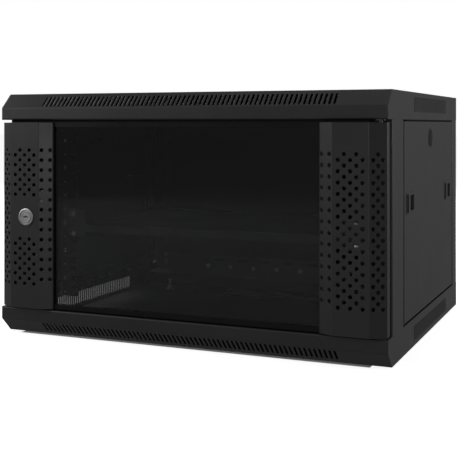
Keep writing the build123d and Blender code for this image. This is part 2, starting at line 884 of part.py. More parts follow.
def make_depth_bracket(z):
    """Right bracket from the front post to the rear post's lip, slotted for the rails."""
    plate_x = rail_outer_x + bracket_sheet / 2
    front_y = post_face_y + frame_sheet + bracket_sheet / 2
    rear_y = bracket_tab_y()
    tab_end = half_width - rebate_depth - frame_sheet
    plan = [
        (half_width - 8, front_y),
        (plate_x, front_y),
        (plate_x, rear_y),
        (tab_end, rear_y),
    ]
    low_z = z - bracket_height / 2
    strip = folded_strip(plan, bracket_sheet, low_z, low_z + bracket_height, bracket_fold)
    slot_step = (rear_y - front_y) / (bracket_slots + 1)
    with BuildPart() as bracket:
        add(strip.part)
        with BuildSketch(Plane.YZ.offset(plate_x - bracket_sheet)):
            for i in range(bracket_slots):
                with Locations((front_y + (i + 1) * slot_step, z)):
                    SlotOverall(slot_step - bracket_slot_gap, 2 * m6_radius + 2 * running_gap)
        extrude(amount=2 * bracket_sheet, mode=Mode.SUBTRACT)
        with BuildSketch(Plane.YZ.offset(plate_x - bracket_sheet)):
            for y in (front_rail_y, rear_rail_y):
                with Locations((y + rail_web / 2, z)):
                    Circle(m6_radius)
        extrude(amount=2 * bracket_sheet, mode=Mode.SUBTRACT)
        with BuildSketch(Plane.XZ.offset(-front_y + bracket_sheet)):
            with Locations((bracket_bolt_x(), z)):
                Circle(m6_radius)
        extrude(amount=-2 * bracket_sheet, mode=Mode.SUBTRACT)
        with BuildSketch(Plane.XZ.offset(-rear_y + bracket_sheet)):
            with Locations((tab_bolt_x(), tab_bolt_z(z))):
                Circle(m6_radius)
        extrude(amount=-2 * bracket_sheet, mode=Mode.SUBTRACT)
    return bracket


def make_rail(face_y, faces):
    """Right 19-inch rail; faces is 1 when its web runs towards the back, -1 towards the front."""
    t = rail_sheet / 2
    plan = [
        (rack_opening / 2, face_y + faces * t),
        (rail_outer_x - t, face_y + faces * t),
        (rail_outer_x - t, face_y + faces * rail_web),
    ]
    strip = folded_strip(plan, rail_sheet, rail_low_z, rail_high_z, 2.0)
    heights = [zone_low_z + u * unit_height + h for u in range(rack_units) for h in unit_hole_heights]
    with BuildPart() as rail:
        add(strip.part)
        with BuildSketch(Plane.XZ.offset(-face_y + rail_sheet)):
            with Locations(*[(rail_hole_x, z) for z in heights]):
                Rectangle(rail_hole, rail_hole)
        extrude(amount=-3 * rail_sheet, mode=Mode.SUBTRACT, both=True)
        with BuildSketch(Plane.YZ.offset(rail_outer_x - 2 * rail_sheet)):
            with Locations(*[(face_y + faces * rail_web / 2, z) for z in bracket_middles()]):
                Circle(m6_radius)
        extrude(amount=3 * rail_sheet, mode=Mode.SUBTRACT)
    return rail


def make_shelf():
    """Fixed shelf: deck, front lip, side flanges and two ears on the front rails."""
    t = shelf_sheet
    face_y = front_rail_y - t
    deck_half = rack_opening / 2 - shelf_side_gap
    ear_low = zone_low_z + (shelf_unit - 1) * unit_height + ear_gap
    ear_height = unit_height - 2 * ear_gap
    ear_inner = deck_half - shelf_ear_root
    ear_outer = shelf_ear_width / 2
    middle_y = face_y + shelf_depth / 2
    with BuildPart() as shelf:
        with Locations((0, middle_y, shelf_z - t / 2)):
            Box(2 * deck_half, shelf_depth, t)
        with Locations((0, face_y + t / 2, shelf_z - shelf_lip / 2)):
            Box(2 * deck_half, t, shelf_lip)
        with Locations((0, face_y + shelf_depth - t / 2, shelf_z - shelf_lip / 2)):
            Box(2 * deck_half, t, shelf_lip)
        for side in (-1, 1):
            with Locations((side * (deck_half - t / 2), middle_y, shelf_z - shelf_lip / 2)):
                Box(t, shelf_depth, shelf_lip)
            with Locations((side * (ear_inner + ear_outer) / 2, face_y + t / 2, ear_low + ear_height / 2)):
                Box(ear_outer - ear_inner, t, ear_height)
        with BuildSketch(Plane.XZ.offset(-face_y + t)):
            with Locations(*shelf_screw_places()):
                Circle(m6_radius)
        extrude(amount=-3 * t, mode=Mode.SUBTRACT)
    return shelf


def shelf_screw_places():
    """Top and bottom hole of the shelf's unit on both rails."""
    base = zone_low_z + (shelf_unit - 1) * unit_height
    return [(s * rail_hole_x, base + h) for s in (-1, 1) for h in (unit_hole_heights[0], unit_hole_heights[2])]


def make_shelf_screws():
    """Four pan-head screws through the shelf's ears."""
    with BuildPart() as screws:
        for x, z in shelf_screw_places():
            plane = Plane(origin=(x, front_rail_y - shelf_sheet, z), x_dir=(1, 0, 0), z_dir=(0, -1, 0))
            pan_screw(plane, 12, pan_radius, pan_height, m6_radius - pin_clearance)
    return screws


def make_cage_nuts():
    """Cage nuts behind the front rails at the shelf's screws."""
    with BuildPart() as nuts:
        for x, z in shelf_screw_places():
            with BuildSketch(Plane.XZ.offset(-(front_rail_y + rail_sheet))):
                with Locations((x, z)):
                    Rectangle(cage_nut_side, cage_nut_side)
                    Circle(m6_radius, mode=Mode.SUBTRACT)
            extrude(amount=-cage_nut_height)
            with BuildSketch(Plane.XZ.offset(-(front_rail_y + 0.1))):
                with Locations((x, z)):
                    Rectangle(rail_hole - 0.4, rail_hole - 0.4)
                    Circle(m6_radius, mode=Mode.SUBTRACT)
            extrude(amount=-(rail_sheet - 0.1))
    return nuts


def make_rail_bolts():
    """Hexagon bolts that hold the four rails on the depth brackets."""
    with BuildPart() as bolts:
        for side in (-1, 1):
            for y in (front_rail_y + rail_web / 2, rear_rail_y + rail_web / 2):
                for z in bracket_middles():
                    plane = Plane(
                        origin=(side * (rail_outer_x - rail_sheet), y, z),
                        x_dir=(0, 1, 0),
                        z_dir=(-side, 0, 0),
                    )
                    hexagon_bolt(plane, rail_sheet + bracket_sheet + 4, hex_height)
    return bolts


def make_bracket_bolts():
    """Hexagon bolts that hold the depth brackets on the front posts."""
    head_y = post_face_y + frame_sheet + bracket_sheet
    with BuildPart() as bolts:
        for side in (-1, 1):
            for z in bracket_middles():
                plane = Plane(origin=(side * bracket_bolt_x(), head_y, z), x_dir=(1, 0, 0), z_dir=(0, 1, 0))
                hexagon_bolt(plane, bracket_sheet + frame_sheet + 1.5, hex_height)
    return bolts


def make_tab_bolts():
    """Bolts through the brackets' rear tabs; the lower two also carry the cable bar."""
    head_y = bracket_tab_y() - bracket_sheet / 2
    tab_rear_y = head_y + bracket_sheet
    with BuildPart() as bolts:
        for side in (-1, 1):
            for z in bracket_middles():
                nut_y = bar_y + shelf_sheet if z < mid_z else tab_rear_y
                place = (side * tab_bolt_x(), tab_bolt_z(z))
                head_plane = Plane(origin=(place[0], head_y, place[1]), x_dir=(1, 0, 0), z_dir=(0, -1, 0))
                nut_plane = Plane(origin=(place[0], nut_y, place[1]), x_dir=(1, 0, 0), z_dir=(0, 1, 0))
                hexagon_bolt(head_plane, nut_y + nut_height + 1 - head_y, hex_height)
                with BuildSketch(nut_plane) as nut:
                    RegularPolygon(hex_radius, 6)
                extrude(nut.sketch, amount=nut_height)
    return bolts


# ---- back ----
def bar_screw_places():
    return [(x, bar_bottom + bar_height / 2) for x in row(bar_screws, bar_screw_pitch)]


def make_cable_bar():
    """Flat bar across the rear posts for tying cables down."""
    half = half_width - frame_sheet - 2
    with BuildPart() as bar:
        with Locations((0, bar_y + shelf_sheet / 2, bar_bottom + bar_height / 2)):
            Box(2 * half, shelf_sheet, bar_height)
        with BuildSketch(Plane.XZ.offset(-bar_y + 1)):
            with Locations(*bar_screw_places()):
                Circle(small_screw_radius + 0.1)
            with Locations(*[(s * tab_bolt_x(), bar_bottom + bar_height / 2) for s in (-1, 1)]):
                Circle(m6_radius)
        extrude(amount=-(shelf_sheet + 2), mode=Mode.SUBTRACT)
        with BuildSketch(Plane.XZ.offset(-bar_y + 1)):
            middle = bar_bottom + bar_height / 2
            with Locations(*[(x, middle + bar_slot_rise) for x in row(bar_screws - 1, bar_screw_pitch)]):
                SlotOverall(*bar_slot)
        extrude(amount=-(shelf_sheet + 2), mode=Mode.SUBTRACT)
    return bar


def make_bar_screws():
    """Row of pan-head screws on the cable bar."""
    with BuildPart() as screws:
        for x, z in bar_screw_places():
            plane = Plane(origin=(x, bar_y, z), x_dir=(1, 0, 0), z_dir=(0, -1, 0))
            pan_screw(plane, 6, small_pan_radius + 0.6, small_pan_height + 0.4, small_screw_radius)
    return screws


def back_screw_places():
    x = half_width - rear_post_flange / 2
    low_z = cap_height + back_screw_inset
    return [(s * x, z) for s in (-1, 1) for z in (low_z, mid_z, cabinet_height - low_z)]


def make_back_panel():
    """Rear wall behind the posts' flanges, with the four wall-mount holes."""
    front_y = back_y - 2 * frame_sheet
    with BuildPart() as panel:
        with Locations((0, front_y + frame_sheet / 2, mid_z)):
            Box(
                cabinet_width - 2 * (frame_sheet + fold_radius),
                frame_sheet,
                cabinet_height - 2 * (frame_sheet + fold_radius),
            )
        with BuildSketch(Plane.XZ.offset(-front_y + 1)):
            with Locations((0, mid_z)):
                with GridLocations(wall_hole_span_x, wall_hole_span_z, 2, 2):
                    Circle(wall_hole_radius)
            with Locations(*back_screw_places()):
                Circle(small_screw_radius)
        extrude(amount=-(frame_sheet + 2), mode=Mode.SUBTRACT)
    return panel


def make_back_screws():
    """Small screws from inside through the back panel into the rear flanges."""
    with BuildPart() as screws:
        for x, z in back_screw_places():
            plane = Plane(origin=(x, back_y - 2 * frame_sheet, z), x_dir=(1, 0, 0), z_dir=(0, -1, 0))
            pan_screw(plane, frame_sheet, small_pan_radius, small_pan_height,
                      small_screw_radius - pin_clearance)
    return screws


def make_roof_plate():
    """Plate that closes the roof's cable entry from inside."""
    with BuildPart() as plate:
        with Locations((0, entry_y, cabinet_height - 1.5 * frame_sheet)):
            Box(cable_entry_width + 2 * plate_lap_x, cable_entry_depth + 2 * plate_lap_y, frame_sheet)
        with BuildSketch(Plane.XY.offset(cabinet_height - 3 * frame_sheet)):
            with Locations(*plate_screw_places()):
                Circle(small_screw_radius)
        extrude(amount=3 * frame_sheet, mode=Mode.SUBTRACT)
    return plate


def make_roof_plate_screws():
    """Small screws of the roof plate, heads inside."""
    with BuildPart() as screws:
        for x, y in plate_screw_places():
            plane = Plane(origin=(x, y, cabinet_height - 2 * frame_sheet), x_dir=(1, 0, 0), z_dir=(0, 0, -1))
            pan_screw(plane, 2 * frame_sheet - 0.1, small_pan_radius, small_pan_height,
                      small_screw_radius - pin_clearance)
    return screws


def make_entry_edging():
    """Rubber edging around the floor's open cable entry."""
    hole = (cable_entry_width, cable_entry_depth)
    outer = (hole[0] + 2 * edging_wall, hole[1] + 2 * edging_wall)
    inner = (hole[0] - 2 * edging_wall, hole[1] - 2 * edging_wall)
    inner_corner = entry_corner - edging_wall
    with BuildPart() as edging:
        with BuildSketch(Plane.XY.offset(frame_sheet)):
            with Locations((0, entry_y)):
                RectangleRounded(*outer, entry_corner + edging_wall)
                RectangleRounded(*inner, inner_corner, mode=Mode.SUBTRACT)
        extrude(amount=edging_wall)
        with BuildSketch(Plane.XY.offset(running_gap)):
            with Locations((0, entry_y)):
                RectangleRounded(*hole, entry_corner)
                RectangleRounded(*inner, inner_corner, mode=Mode.SUBTRACT)
        extrude(amount=frame_sheet - running_gap)
    return edging


def earth_plane(z):
    """Horizontal plane at the earth stud, in the rear left corner of the floor."""
    return Plane(origin=(-half_width + earth_inset, back_y - earth_inset, z), x_dir=(1, 0, 0), z_dir=(0, 0, 1))


def make_earth_stud():
    """Earth stud welded to the floor."""
    with BuildPart() as stud:
        with BuildSketch(earth_plane(frame_sheet)):
            Circle(m6_radius)
        extrude(amount=earth_stud_height)
    return stud


def make_earth_nut():
    """Nut and washer on the earth stud."""
    with BuildPart() as nut:
        with BuildSketch(earth_plane(frame_sheet)):
            Circle(washer_radius)
            Circle(m6_radius + pin_clearance, mode=Mode.SUBTRACT)
        extrude(amount=washer_sheet)
        with BuildSketch(earth_plane(frame_sheet + washer_sheet)):
            RegularPolygon(hex_radius, 6)
            Circle(m6_radius + pin_clearance, mode=Mode.SUBTRACT)
        extrude(amount=nut_height)
    return nut


# ---- the assembly ----
cap = make_cap()
fascia = make_fascia()
save(make_top_cover(cap), "top_cover")
save(add_cable_entry(flip(cap)), "bottom_cover")
save(fascia, "top_fascia")
save(flip(fascia), "bottom_fascia")

front_post = make_front_post()
rear_post = make_rear_post()
side_panel = make_side_panel()
panel_plug = make_panel_plug()
retainer = make_glass_retainer()
front_rail = make_rail(front_rail_y, 1)
rear_rail = make_rail(rear_rail_y, 1)
lower_bracket, upper_bracket = [make_depth_bracket(z) for z in bracket_middles()]

for side, word in ((-1, "left"), (1, "right")):
    save(handed(front_post, side), f"{word}_front_post")
    save(handed(rear_post, side), f"{word}_rear_post")
    save(handed(side_panel, side), f"{word}_side_panel")
    save(handed(panel_plug, side), f"{word}_panel_plug")
    save(handed(front_rail, side), f"{word}_front_rail")
    save(handed(rear_rail, side), f"{word}_rear_rail")
    save(handed(lower_bracket, side), f"{word}_lower_bracket")
    save(handed(upper_bracket, side), f"{word}_upper_bracket")
    save(handed(retainer, side), f"{word}_glass_retainer")
    for end, outward, middle_y in (("front", -1, latch_middles()[0]), ("rear", 1, latch_middles()[1])):
        save(handed(make_latch_housing(middle_y, outward), side), f"{word}_{end}_latch_housing")
        save(handed(make_latch_slider(middle_y, outward), side), f"{word}_{end}_latch_slider")

hinge_stile = make_stile(0)
with BuildPart() as lock_stile:
    mirror(make_stile(lock_clear_rows).part, about=Plane.YZ)
    with BuildSketch(lock_plane(door_face_y - 1)):
        Circle(lock_barrel_radius + pin_clearance)
    extrude(amount=-(door_sheet + 2), mode=Mode.SUBTRACT)
save(hinge_stile, "door_hinge_stile")
save(lock_stile, "door_lock_stile")

top_glass_rail = make_top_glass_rail()
save(top_glass_rail, "door_top_rail")
with BuildPart() as bottom_glass_rail:
    mirror(top_glass_rail.part, about=Plane.XY.offset((door_low_z + door_high_z) / 2))
save(bottom_glass_rail, "door_bottom_rail")
save(make_glass(), "door_glass")
save(make_gasket(), "glass_gasket")

save(make_hinge_blocks(), "hinge_blocks")
save(make_lower_pin(), "lower_hinge_pin")
save(make_upper_pin(), "upper_hinge_pin")
lower_bush = make_lower_bush()
with BuildPart() as hinge_bushes:
    add(lower_bush.part)
    mirror(lower_bush.part, about=Plane.XY.offset(mid_z))
save(hinge_bushes, "hinge_bushes")

save(make_lock_body(), "lock_body")
save(make_lock_nut(), "lock_nut")
save(make_lock_barrel(), "lock_barrel")
save(make_lock_cam(), "lock_cam")
save(make_cam_screw(), "cam_screw")

save(make_shelf(), "shelf")
save(make_shelf_screws(), "shelf_screws")
save(make_cage_nuts(), "cage_nuts")
save(make_rail_bolts(), "rail_bolts")
save(make_bracket_bolts(), "bracket_bolts")
save(make_tab_bolts(), "bracket_tab_bolts")

save(make_back_panel(), "back_panel")
save(make_back_screws(), "back_panel_screws")
save(make_cable_bar(), "rear_cable_bar")
save(make_bar_screws(), "cable_bar_screws")
save(make_roof_plate(), "roof_entry_plate")
save(make_roof_plate_screws(), "roof_plate_screws")
save(make_entry_edging(), "floor_entry_edging")
save(make_earth_stud(), "earth_stud")
save(make_earth_nut(), "earth_nut")
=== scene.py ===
import json
import math
import random

import bmesh
import bpy
from mathutils import Matrix, Vector


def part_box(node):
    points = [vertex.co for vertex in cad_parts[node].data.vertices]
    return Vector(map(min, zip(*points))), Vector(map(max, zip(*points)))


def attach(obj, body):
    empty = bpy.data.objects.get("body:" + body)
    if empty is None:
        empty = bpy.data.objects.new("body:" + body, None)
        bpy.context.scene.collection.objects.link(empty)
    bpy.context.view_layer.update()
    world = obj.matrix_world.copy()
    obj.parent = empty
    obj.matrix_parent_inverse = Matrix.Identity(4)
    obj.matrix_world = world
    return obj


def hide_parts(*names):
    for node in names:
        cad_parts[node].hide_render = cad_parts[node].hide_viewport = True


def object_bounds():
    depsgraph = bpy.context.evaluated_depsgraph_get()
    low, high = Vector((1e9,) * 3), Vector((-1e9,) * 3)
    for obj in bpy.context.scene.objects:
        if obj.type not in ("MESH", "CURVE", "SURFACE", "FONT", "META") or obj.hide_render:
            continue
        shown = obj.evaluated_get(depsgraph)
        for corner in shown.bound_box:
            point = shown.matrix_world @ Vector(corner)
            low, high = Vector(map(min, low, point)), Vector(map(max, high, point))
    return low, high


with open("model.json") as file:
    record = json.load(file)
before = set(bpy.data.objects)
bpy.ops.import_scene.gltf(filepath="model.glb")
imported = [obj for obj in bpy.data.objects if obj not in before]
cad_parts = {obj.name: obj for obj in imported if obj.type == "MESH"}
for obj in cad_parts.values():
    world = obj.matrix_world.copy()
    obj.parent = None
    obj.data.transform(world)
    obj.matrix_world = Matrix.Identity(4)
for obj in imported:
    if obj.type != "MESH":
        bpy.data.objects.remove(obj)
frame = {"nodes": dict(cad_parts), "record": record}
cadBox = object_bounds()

mm = 0.001
scene = bpy.context.scene
nodes = frame["nodes"]
bodyOf = {n: body for body, names in frame["record"]["behaviour"]["bodies"].items() for n in names}
slotOf = {row["node"]: row["material_slot"] for row in frame["record"]["subparts"]}
sides = ((-1, "left"), (1, "right"))
print("cabinet loaded:", len(nodes), "nodes")

gridStep = (200, 160)  # spacing of the nodes in a tree


def addNode(tree, kind, place=(0, 0), **settings):
    # settings named in_Label set a socket, the others set a property of the node
    node = tree.nodes.new(kind)
    node.location = (place[0] * gridStep[0], place[1] * gridStep[1])
    for key, value in settings.items():
        if key.startswith("in_"):
            node.inputs[key[3:]].default_value = value
        else:
            setattr(node, key, value)
    return node


def feed(tree, socket, value):
    # a socket takes another node's output, a number, or a colour
    if isinstance(value, bpy.types.NodeSocket):
        tree.links.new(value, socket)
    elif isinstance(value, tuple):
        socket.default_value = (*value, 1.0)
    else:
        socket.default_value = value


def mathStep(tree, operation, first, second=None, place=(0, 0), clamp=False):
    node = addNode(tree, "ShaderNodeMath", place, operation=operation, use_clamp=clamp)
    feed(tree, node.inputs[0], first)
    if second is not None:
        feed(tree, node.inputs[1], second)
    return node.outputs[0]


def noiseAt(tree, vector, scale, detail, roughness, place):
    node = addNode(tree, "ShaderNodeTexNoise", place, in_Detail=detail, in_Roughness=roughness)
    feed(tree, node.inputs["Vector"], vector)
    feed(tree, node.inputs["Scale"], scale)
    return node.outputs[0]


def remap(tree, value, band, place, result=(0.0, 1.0)):
    # stretch one range of a value over another, clamped at both ends
    node = addNode(tree, "ShaderNodeMapRange", place, clamp=True)
    for i, number in enumerate((value, *band, *result)):
        feed(tree, node.inputs[i], number)
    return node.outputs[0]


def mixColour(tree, factor, first, second, place):
    node = addNode(tree, "ShaderNodeMix", place, data_type="RGBA")
    for i, value in ((0, factor), (6, first), (7, second)):
        feed(tree, node.inputs[i], value)
    return node.outputs[2]


def newEffect(name, values, masks, vectors=()):
    # an empty node group: a vector and named values go in, masks and vectors come out
    tree = bpy.data.node_groups.new(name, "ShaderNodeTree")
    tree.interface.new_socket("Vector", in_out="INPUT", socket_type="NodeSocketVector")
    for label, value in values.items():
        socket = tree.interface.new_socket(label, in_out="INPUT", socket_type="NodeSocketFloat")
        socket.default_value = value
    for labels, kind in ((masks, "NodeSocketFloat"), (vectors, "NodeSocketVector")):
        for label in labels:
            tree.interface.new_socket(label, in_out="OUTPUT", socket_type=kind)
    given = addNode(tree, "NodeGroupInput", (-5, 0))
    out = addNode(tree, "NodeGroupOutput", (6, 0))
    return tree, given.outputs, out.inputs


def makeCoatGrain():
    # orange peel and fine texture of sprayed powder, plus pinhead speckle
    fineRatio = 3.7
    speckleBand = (0.3, 0.42)
    tree, given, out = newEffect("coatGrain", {"Peel Scale": 900.0, "Fine Share": 0.5}, ("Height", "Speckle"))
    peel = noiseAt(tree, given["Vector"], given["Peel Scale"], 2.0, 0.5, (-3, 1))
    fineScale = mathStep(tree, "MULTIPLY", given["Peel Scale"], fineRatio, (-4, -1))
    fine = noiseAt(tree, given["Vector"], fineScale, 1.0, 0.6, (-3, -1))
    fine = mathStep(tree, "MULTIPLY", fine, given["Fine Share"], (-1, -1))
    feed(tree, out["Height"], mathStep(tree, "ADD", peel, fine, (0, 0)))
    feed(tree, out["Speckle"], remap(tree, fine, speckleBand, (1, -1)))
    return tree


def makeEdgeWear():
    # mask of folded and cut edges, broken up by noise, and the rounded normal of those edges
    leastTurn = 0.02
    breakupBand = (0.42, 0.62)
    tree, given, out = newEffect("edgeWear", {"Radius": 0.0008, "Spread": 0.35, "Breakup": 60.0},
                                 ("Mask",), ("Rounded",))
    rounded = addNode(tree, "ShaderNodeBevel", (-3, 2), samples=6)
    feed(tree, rounded.inputs["Radius"], given["Radius"])
    surface = addNode(tree, "ShaderNodeNewGeometry", (-3, 0))
    match = addNode(tree, "ShaderNodeVectorMath", (-1, 1), operation="DOT_PRODUCT")
    feed(tree, match.inputs[0], rounded.outputs[0])
    feed(tree, match.inputs[1], surface.outputs["Normal"])
    turned = mathStep(tree, "SUBTRACT", 1.0, match.outputs["Value"], (0, 1))
    edge = remap(tree, turned, (leastTurn, given["Spread"]), (1, 1))
    worn = noiseAt(tree, given["Vector"], given["Breakup"], 4.0, 0.62, (-1, -1))
    worn = remap(tree, worn, breakupBand, (1, -1))
    feed(tree, out["Mask"], mathStep(tree, "MULTIPLY", edge, worn, (3, 0), True))
    feed(tree, out["Rounded"], rounded.outputs[0])
    return tree


def makeDustFilm():
    # thin dust: settles on faces that look up, and a trace everywhere
    upwardBand = (0.2, 1.0)
    patchBand = (0.35, 0.7)
    patchRange = (0.25, 1.0)
    tree, given, out = newEffect("dustFilm", {"Settled": 0.3, "Trace": 0.05, "Patch Scale": 22.0}, ("Mask",))
    surface = addNode(tree, "ShaderNodeNewGeometry", (-4, 2))
    parts = addNode(tree, "ShaderNodeSeparateXYZ", (-3, 2))
    feed(tree, parts.inputs[0], surface.outputs["Normal"])
    upward = remap(tree, parts.outputs["Z"], upwardBand, (-2, 2))
    patches = noiseAt(tree, given["Vector"], given["Patch Scale"], 6.0, 0.6, (-3, 0))
    patches = remap(tree, patches, patchBand, (-1, 0), patchRange)
    settled = mathStep(tree, "MULTIPLY", upward, given["Settled"], (0, 2))
    total = mathStep(tree, "ADD", settled, given["Trace"], (1, 1))
    feed(tree, out["Mask"], mathStep(tree, "MULTIPLY", total, patches, (3, 0), True))
    return tree


def makeHandling():
    # soft smudges from hands and cloths, and short scuffs
    smudgeBand = (0.3, 0.7)
    scuffBand = (0.66, 0.74)
    tree, given, out = newEffect("handling", {"Smudge Scale": 9.0, "Scuff Scale": 70.0}, ("Smudge", "Scuff"))
    smudge = noiseAt(tree, given["Vector"], given["Smudge Scale"], 3.0, 0.55, (-3, 1))
    stretched = addNode(tree, "ShaderNodeMapping", (-4, -1), in_Scale=(1.0, 1.0, 0.12),
                        in_Rotation=(0.4, 0.7, 0.2))
    feed(tree, stretched.inputs["Vector"], given["Vector"])
    scuff = noiseAt(tree, stretched.outputs[0], given["Scuff Scale"], 2.0, 0.5, (-3, -1))
    feed(tree, out["Smudge"], remap(tree, smudge, smudgeBand, (-1, 1)))
    feed(tree, out["Scuff"], remap(tree, scuff, scuffBand, (-1, -1)))
    return tree


effects = {
    "coatGrain": makeCoatGrain(),
    "edgeWear": makeEdgeWear(),
    "dustFilm": makeDustFilm(),
    "handling": makeHandling(),
}


def placeEffect(tree, name, vector, place, **values):
    node = addNode(tree, "ShaderNodeGroup", place)
    node.node_tree = effects[name]
    feed(tree, node.inputs["Vector"], vector)
    for key, value in values.items():
        node.inputs[key.replace("_", " ")].default_value = value
    return node.outputs


def newFinish(name):
    # a material with its Principled shader and object coordinates
    material = bpy.data.materials.new(name)
    material.use_nodes = True
    tree = material.node_tree
    shader = tree.nodes["Principled BSDF"]
    coordinates = addNode(tree, "ShaderNodeTexCoord", (-8, 0))
    return material, tree, shader, coordinates.outputs["Object"]


def addTexture(tree, shader, height, rounded, strength, depth):
    # bump laid over the rounded normal of the edges
    bump = addNode(tree, "ShaderNodeBump", (0, -2), in_Strength=strength, in_Distance=depth)
    feed(tree, bump.inputs["Height"], height)
    feed(tree, bump.inputs["Normal"], rounded)
    feed(tree, shader.inputs["Normal"], bump.outputs[0])


coatLook = {
    "colour": (0.021, 0.0215, 0.0225),
    "speckleColour": (0.034, 0.035, 0.036),
    "speckleShare": 0.55,
    "wornColour": (0.075, 0.075, 0.074),
    "wear": 0.35,
    "edgeRadius": 0.0010,
    "dustColour": (0.16, 0.155, 0.145),
    "settled": 0.035,
    "trace": 0.015,
    "roughness": (0.31, 0.40),
    "scuffRoughness": 0.05,
    "dustRoughness": 0.5,
    "specular": 0.42,
    "peelScale": 950.0,
    "bump": 0.10,
    "bumpDepth": 0.0004,
}
# door's top and bottom rails: a darker black than the frame's coat, a little smoother and less specular
railLook = {
    "colour": (0.006, 0.006, 0.0062),
    "speckleColour": (0.009, 0.009, 0.009),
    "wornColour": (0.03, 0.03, 0.03),
    "roughness": (0.26, 0.36),
    "specular": 0.2,
    "bump": 0.05,
    "trace": 0.004,
}


def makeCoat(name, **changes):
    # fine-textured satin powder coat over folded steel
    look = {**coatLook, **changes}
    material, tree, shader, here = newFinish(name)
    grain = placeEffect(tree, "coatGrain", here, (-5, 1), Peel_Scale=look["peelScale"])
    wear = placeEffect(tree, "edgeWear", here, (-5, -1), Radius=look["edgeRadius"])
    dust = placeEffect(tree, "dustFilm", here, (-5, -3), Settled=look["settled"], Trace=look["trace"])
    touch = placeEffect(tree, "handling", here, (-5, -5))
    speckle = mathStep(tree, "MULTIPLY", grain["Speckle"], look["speckleShare"], (-3, 1))
    colour = mixColour(tree, speckle, look["colour"], look["speckleColour"], (-2, 1))
    worn = mathStep(tree, "MULTIPLY", wear["Mask"], look["wear"], (-3, -1))
    colour = mixColour(tree, worn, colour, look["wornColour"], (-1, 0))
    colour = mixColour(tree, dust["Mask"], colour, look["dustColour"], (0, 0))
    feed(tree, shader.inputs["Base Color"], colour)
    rough = remap(tree, touch["Smudge"], (0.0, 1.0), (-2, -4), look["roughness"])
    scuffed = mathStep(tree, "MULTIPLY", touch["Scuff"], look["scuffRoughness"], (-2, -5))
    rough = mathStep(tree, "ADD", rough, scuffed, (-1, -4))
    dusty = mathStep(tree, "MULTIPLY", dust["Mask"], look["dustRoughness"], (-2, -3))
    rough = mathStep(tree, "ADD", rough, dusty, (0, -3), True)
    feed(tree, shader.inputs["Roughness"], rough)
    addTexture(tree, shader, grain["Height"], wear["Rounded"], look["bump"], look["bumpDepth"])
    shader.inputs["Specular IOR Level"].default_value = look["specular"]
    return material


glassLook = {"tint": (0.35, 0.36, 0.36), "lampTint": (0.43, 0.43, 0.43), "ior": 1.46, "haze": 0.004,
             "smudgeScale": 14.0, "dustTrace": 0.004, "dustScale": 30.0}


def makeSmokedGlass():
    # tinted pane; lamps reach through it so that the bays behind are lit
    material, tree, shader, here = newFinish("smokedGlass")
    feed(tree, shader.inputs["Base Color"], glassLook["tint"])
    shader.inputs["Transmission Weight"].default_value = 1.0
    shader.inputs["IOR"].default_value = glassLook["ior"]
    touch = placeEffect(tree, "handling", here, (-5, 0), Smudge_Scale=glassLook["smudgeScale"])
    dust = placeEffect(tree, "dustFilm", here, (-5, -2), Settled=0.0, Trace=glassLook["dustTrace"],
                       Patch_Scale=glassLook["dustScale"])
    haze = mathStep(tree, "MULTIPLY", touch["Smudge"], glassLook["haze"], (-3, 0))
    haze = mathStep(tree, "ADD", haze, dust["Mask"], (-2, 0), True)
    feed(tree, shader.inputs["Roughness"], haze)
    clear = addNode(tree, "ShaderNodeBsdfTransparent", (1, 2))
    feed(tree, clear.inputs[0], glassLook["lampTint"])
    path = addNode(tree, "ShaderNodeLightPath", (1, 4))
    mixed = addNode(tree, "ShaderNodeMixShader", (3, 1))
    for i, source in enumerate((path.outputs["Is Shadow Ray"], shader.outputs[0], clear.outputs[0])):
        feed(tree, mixed.inputs[i], source)
    feed(tree, tree.nodes["Material Output"].inputs["Surface"], mixed.outputs[0])
    return material


metalLook = {"edgeRadius": 0.0004, "edgeBreakup": 220.0, "edgeShare": 0.5, "edgeGain": 1.25,
             "grainScale": 2600.0, "grainDepth": 0.0001}
metalKinds = {
    "lock_chrome": {"name": "satinNickel", "colour": (0.60, 0.60, 0.60), "tarnish": (0.44, 0.44, 0.44),
                    "roughness": (0.30, 0.42), "bump": 0.12, "smudgeScale": 60.0},
    "zinc_steel": {"name": "zincPlate", "colour": (0.80, 0.81, 0.83), "tarnish": (0.58, 0.59, 0.62),
                   "roughness": (0.26, 0.42), "bump": 0.10, "smudgeScale": 130.0},
    "blackOxide": {"name": "blackOxide", "colour": (0.10, 0.10, 0.11), "tarnish": (0.06, 0.06, 0.065),
                   "roughness": (0.30, 0.45), "bump": 0.10, "smudgeScale": 90.0},
}


def makePlainMetal(look):
    # plated steel: cloudy tone, fine grain, brighter along its edges
    material, tree, shader, here = newFinish(look["name"])
    touch = placeEffect(tree, "handling", here, (-5, 0), Smudge_Scale=look["smudgeScale"])
    wear = placeEffect(tree, "edgeWear", here, (-5, -2), Radius=metalLook["edgeRadius"],
                       Breakup=metalLook["edgeBreakup"])
    grain = placeEffect(tree, "coatGrain", here, (-5, -4), Peel_Scale=metalLook["grainScale"])
    cloudy = mixColour(tree, touch["Smudge"], look["colour"], look["tarnish"], (-2, 1))
    bright = mathStep(tree, "MULTIPLY", wear["Mask"], metalLook["edgeShare"], (-2, -1))
    polished = tuple(min(1.0, c * metalLook["edgeGain"]) for c in look["colour"])
    feed(tree, shader.inputs["Base Color"], mixColour(tree, bright, cloudy, polished, (-1, 0)))
    rough = remap(tree, touch["Smudge"], (0.0, 1.0), (-2, -3), look["roughness"])
    feed(tree, shader.inputs["Roughness"], rough)
    addTexture(tree, shader, grain["Height"], wear["Rounded"], look["bump"], metalLook["grainDepth"])
    shader.inputs["Metallic"].default_value = 1.0
    return material


